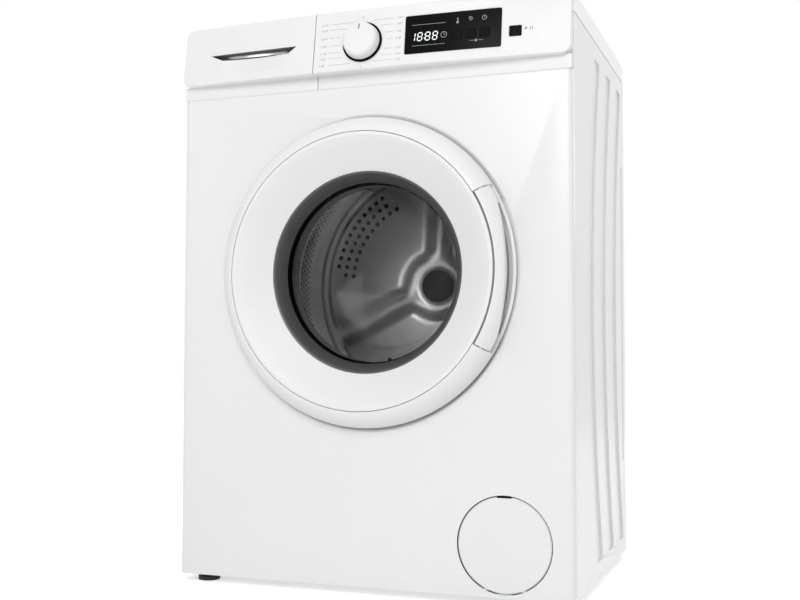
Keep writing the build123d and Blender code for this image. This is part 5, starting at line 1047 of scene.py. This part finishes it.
# %% [markdown]
# ## The bead under the panel
# The control panel and the drawer's front stand a little proud of the front sheet, with a thin white bead
# in the corner below them, so the seam is a pale line. The bead is one outline carried along the width.
# Its face slopes, because a square one would lie in the lip's shade and turn dark.

# %% The bead under the panel
BEAD_X = 297.0
BEAD = [(-1.25, 727.93), (-0.85, 727.2), (-0.4, 726.6), (-0.02, 726.1), (-0.02, 727.5), (1.4, 727.5),
        (1.4, 727.93)]
points = [spot(x, depth, z) for x in (-BEAD_X, BEAD_X) for depth, z in BEAD]
own(shape("panel_bead", points, joined(2, len(BEAD)), abs_white), "cabinet", "white_plastic")
print("bead", 2 * BEAD_X, "mm long")

# %% [markdown]
# ## The shade line under the worktop
# The worktop rests on the side panels, and from the side their joint is the one dark line near the top.
# That line is painted shade: a flat black bar in each seam, a little behind the rounded edges.

# %% The shade line under the worktop
SEAM_INNER, SEAM_OUTER = 297.0, 299.92
SEAM_DEPTHS, SEAM_Z = (13.0, 436.0), (807.5, 809.1)
points, faces = [], []
for side in (-1, 1):
    faces += [tuple(len(points) + i for i in face) for face in BOX_FACES]
    points += box_corners((side * SEAM_INNER, side * SEAM_OUTER), SEAM_DEPTHS, SEAM_Z)
# A black bar in each seam, painted shade.
own(shape("worktop_strip", points, faces, belt_rubber_and_painted_shade), "cabinet", SLOT_OF["worktop"])
print("strip", SEAM_DEPTHS[1] - SEAM_DEPTHS[0], "mm long")

# %% [markdown]
# ## Print round the knob
# The programmes stand in two columns beside the knob, each with a thin line that leads to it. Here they
# are plain numbers and temperatures. The lines end short of a circle round the knob. The knob has a short
# dark pointer, which turns with it.

# %% Print round the knob
KNOB_Z = 787.0
LEADER_CLEAR_R, LEADER_GAP, LEADER_NEAREST = 34.0, 2.0, 16.0
FIGURE_MM, HAIR_MM = 3.2, 0.45
LEFT_FIGURES_X, LEFT_LEADER_X = -66.5, -52.0
RIGHT_FIGURES_X, RIGHT_LEADER_X = 60.0, 46.0
LEFT_ROWS = (("15 20°", 818.6), ("14 30°", 810.2), ("13 40°", 797.8), ("12 40°", 786.0),
             ("11 30°", 775.0), ("10 60°", 766.6), ("9 60°", 756.6))
RIGHT_ROWS = (("1 90°", 818.8), ("2 60°", 810.0), ("3 40°", 798.8), ("4 40°", 788.3),
              ("5 30°", 774.2), ("6 30°", 765.0), ("7 20°", 756.8))
MIDDLE_X, MIDDLE_ROWS = -1.0, (("0", 823.0), ("8", 748.6))
POINTER = [(-1.7, 803.0), (0.1, 803.0), (0.1, 810.6), (-1.7, 810.6)]
figures, leaders = [], []
for side, rows, align, figures_x, leader_x in ((-1, LEFT_ROWS, "LEFT", LEFT_FIGURES_X, LEFT_LEADER_X),
                                               (1, RIGHT_ROWS, "RIGHT", RIGHT_FIGURES_X, RIGHT_LEADER_X)):
    for text, z in rows:
        figures += lettering(text, figures_x, z - FIGURE_MM / 2, FIGURE_MM, align)
        circle = math.sqrt(max(0.0, LEADER_CLEAR_R ** 2 - (z - KNOB_Z) ** 2))
        near = max(circle + LEADER_GAP, LEADER_NEAREST)
        leaders += stroke([(leader_x, z), (side * near, z)], HAIR_MM)
for text, z in MIDDLE_ROWS:
    figures += lettering(text, MIDDLE_X, z, FIGURE_MM, "CENTER")
panel_tree = face_tree("control_panel")
printed("programme_figures", figures, panel_tree, grey_ink, "cabinet", "white_plastic")
printed("programme_leaders", leaders, panel_tree, grey_ink, "cabinet", "white_plastic")
printed("knob_pointer", [POINTER], face_tree("program_knob"), dark_ink, "knob", "white_plastic")
print("figures", len(figures), "polygons")

# %% [markdown]
# ## The digits of the display
# Behind the black window of the real machine a row of lit digits tells the time left. Every digit is seven
# bars, slanted a little, with a gap at each joint, and the first shows only its two right-hand bars, as a 1.
# The window is opaque here, so the digits lie on it as a thin film that glows.

# %% The digits of the display
DIGIT_W, DIGIT_H, SLANT = 7.6, 13.0, 0.1
BAR_MM, BAR_GAP_MM = 1.35, 0.75
# Each bar runs from one corner to another, counted in whole widths and half heights of a digit.
BARS = {"top": (0, 2, 1, 2), "high left": (0, 1, 0, 2), "high right": (1, 1, 1, 2), "middle": (0, 1, 1, 1),
        "low left": (0, 0, 0, 1), "low right": (1, 0, 1, 1), "foot": (0, 0, 1, 0)}
DIGITS_Z, FIRST_X, DIGITS_X = 780.6, 72.6, (83.0, 94.4, 105.2)
COLON_X, COLON_Z, COLON_MM = (92.2, 93.4), (784.2, 789.2), 1.2


def digit(x, z, bars):
    """The bars of one digit as slanted strokes, with a small gap at each joint."""
    made = []
    for bar in bars:
        x0, z0, x1, z1 = BARS[bar]
        start = Vector((x0 * (DIGIT_W - BAR_MM), z0 * (DIGIT_H - BAR_MM) / 2))
        end = Vector((x1 * (DIGIT_W - BAR_MM), z1 * (DIGIT_H - BAR_MM) / 2))
        gap = (end - start).normalized() * BAR_GAP_MM
        for quad in stroke([tuple(start + gap), tuple(end - gap)], BAR_MM):
            made.append([(x + px + SLANT * pz, z + pz) for px, pz in quad])
    return made


lit = digit(FIRST_X, DIGITS_Z, ("high right", "low right"))
for x in DIGITS_X:
    lit += digit(x, DIGITS_Z, BARS)
for z in COLON_Z:
    lit += stroke([(x + SLANT * (z - DIGITS_Z), z) for x in COLON_X], COLON_MM)
window_tree = face_tree("display_window")
printed("display_digits", lit, window_tree, segment, "cabinet", "black_plastic")
print("lit bars", len(lit))

# %% [markdown]
# ## The symbols
# Thin lines frame the digits, and a symbol stands over each key: a thermometer, a spiral for the spin and
# a clock. A small lock stands below them. Beside the start key is the common sign for start and pause.
# Each mark is a line through a few points with a width of its own, so a small table holds them all.

# %% The symbols
SPIN_X, SPIN_Z = 159.6, 806.4
SPIN_FROM_R, SPIN_TO_R = 0.6, 3.2
SPIN_STEPS, SPIN_STEP_ANGLE = 36, 0.25
spiral = []
for i in range(SPIN_STEPS + 1):
    radius = SPIN_FROM_R + (SPIN_TO_R - SPIN_FROM_R) * i / SPIN_STEPS
    angle = i * SPIN_STEP_ANGLE
    spiral.append((SPIN_X + radius * math.cos(angle), SPIN_Z + radius * math.sin(angle)))
# Each mark has its points, as x and z, and the width of its line.
MARKS = {
    "upper line": ([(74.3, 804.3), (124.1, 804.3)], HAIR_MM),
    "lower line": ([(76.0, 773.4), (123.4, 773.4)], HAIR_MM),
    "clock by the digits": (arc(121.6, 786.6, 4.2, 0, 360, 28), 0.7),
    "hands by the digits": ([(121.6, 789.4), (121.6, 786.4), (123.6, 786.4)], 0.6),
    "thermometer": ([(141.0, 803.4), (141.0, 809.6)], 1.2),
    "thermometer bulb": (arc(141.0, 803.0, 1.3, 0, 360, 12), 1.3),
    "spin": (spiral, 0.6),
    "clock over the key": (arc(179.2, 806.4, 3.2, 0, 360, 24), 0.6),
    "hands over the key": ([(179.2, 808.4), (179.2, 806.3), (180.8, 806.3)], 0.5),
    "line left of the lock": ([(159.3, 774.2), (165.6, 774.2)], HAIR_MM),
    "line right of the lock": ([(171.0, 774.0), (178.4, 774.0)], HAIR_MM),
    "lock": ([(166.8, 773.6), (169.8, 773.6)], 2.2),
    "lock bow": (arc(168.3, 774.8, 1.1, 0, 180, 8), 0.5),
}
START_ARROW = [(236.0, 783.2), (240.4, 785.6), (236.0, 788.0)]
PAUSE_X, PAUSE_Z, PAUSE_MM = (243.6, 246.4), (783.2, 788.0), 1.1
marks = [quad for points, width in MARKS.values() for quad in stroke(points, width)]
printed("display_marks", marks, window_tree, white_ink, "cabinet", "black_plastic")
start_sign = [START_ARROW]
for x in PAUSE_X:
    start_sign += stroke([(x, z) for z in PAUSE_Z], PAUSE_MM)
printed("start_sign", start_sign, panel_tree, grey_ink, "cabinet", "white_plastic")
print("marks", len(MARKS), "in", len(marks), "polygons")

# %% [markdown]
# ## Screws at the back
# The back and its cover are held by sheet-metal screws with a six-sided head on a washer. Rays from
# behind find the outer sheet, and the node tree of the holes sets one screw at every place.

# %% Screws at the back
RAY_BACK_MM = 520.0
screw_head = pattern_of("screw_head", [(5.5, -0.2), (5.5, 0.7), (4.0, 0.9), (4.0, 3.2), (3.3, 3.7)], sides=6)
SCREW_SPOTS = [(x, z) for z in (22.0, 205.0, 400.0, 600.0, 798.0) for x in (-288.0, 288.0)]
SCREW_SPOTS += [(x, z) for z in (22.0, 798.0) for x in (-150.0, 0.0, 150.0)]
SCREW_SPOTS += [(x, z) for x in (-162.0, 162.0) for z in (212.0, 400.0, 588.0)]
back_trees = [face_tree("rear_panel"), face_tree("rear_cover")]
points = []
for x, z in SCREW_SPOTS:
    hits = [tree.ray_cast(spot(x, RAY_BACK_MM, z), -BACKWARD)[0] for tree in back_trees]
    points.append(max((hit for hit in hits if hit), key=lambda hit: hit.y))
facings = [BACKWARD] * len(points)
own(scattered("rear_screws", points, facings, screw_head, stainless), "cabinet", "galvanised_steel")
print("screws", len(points))
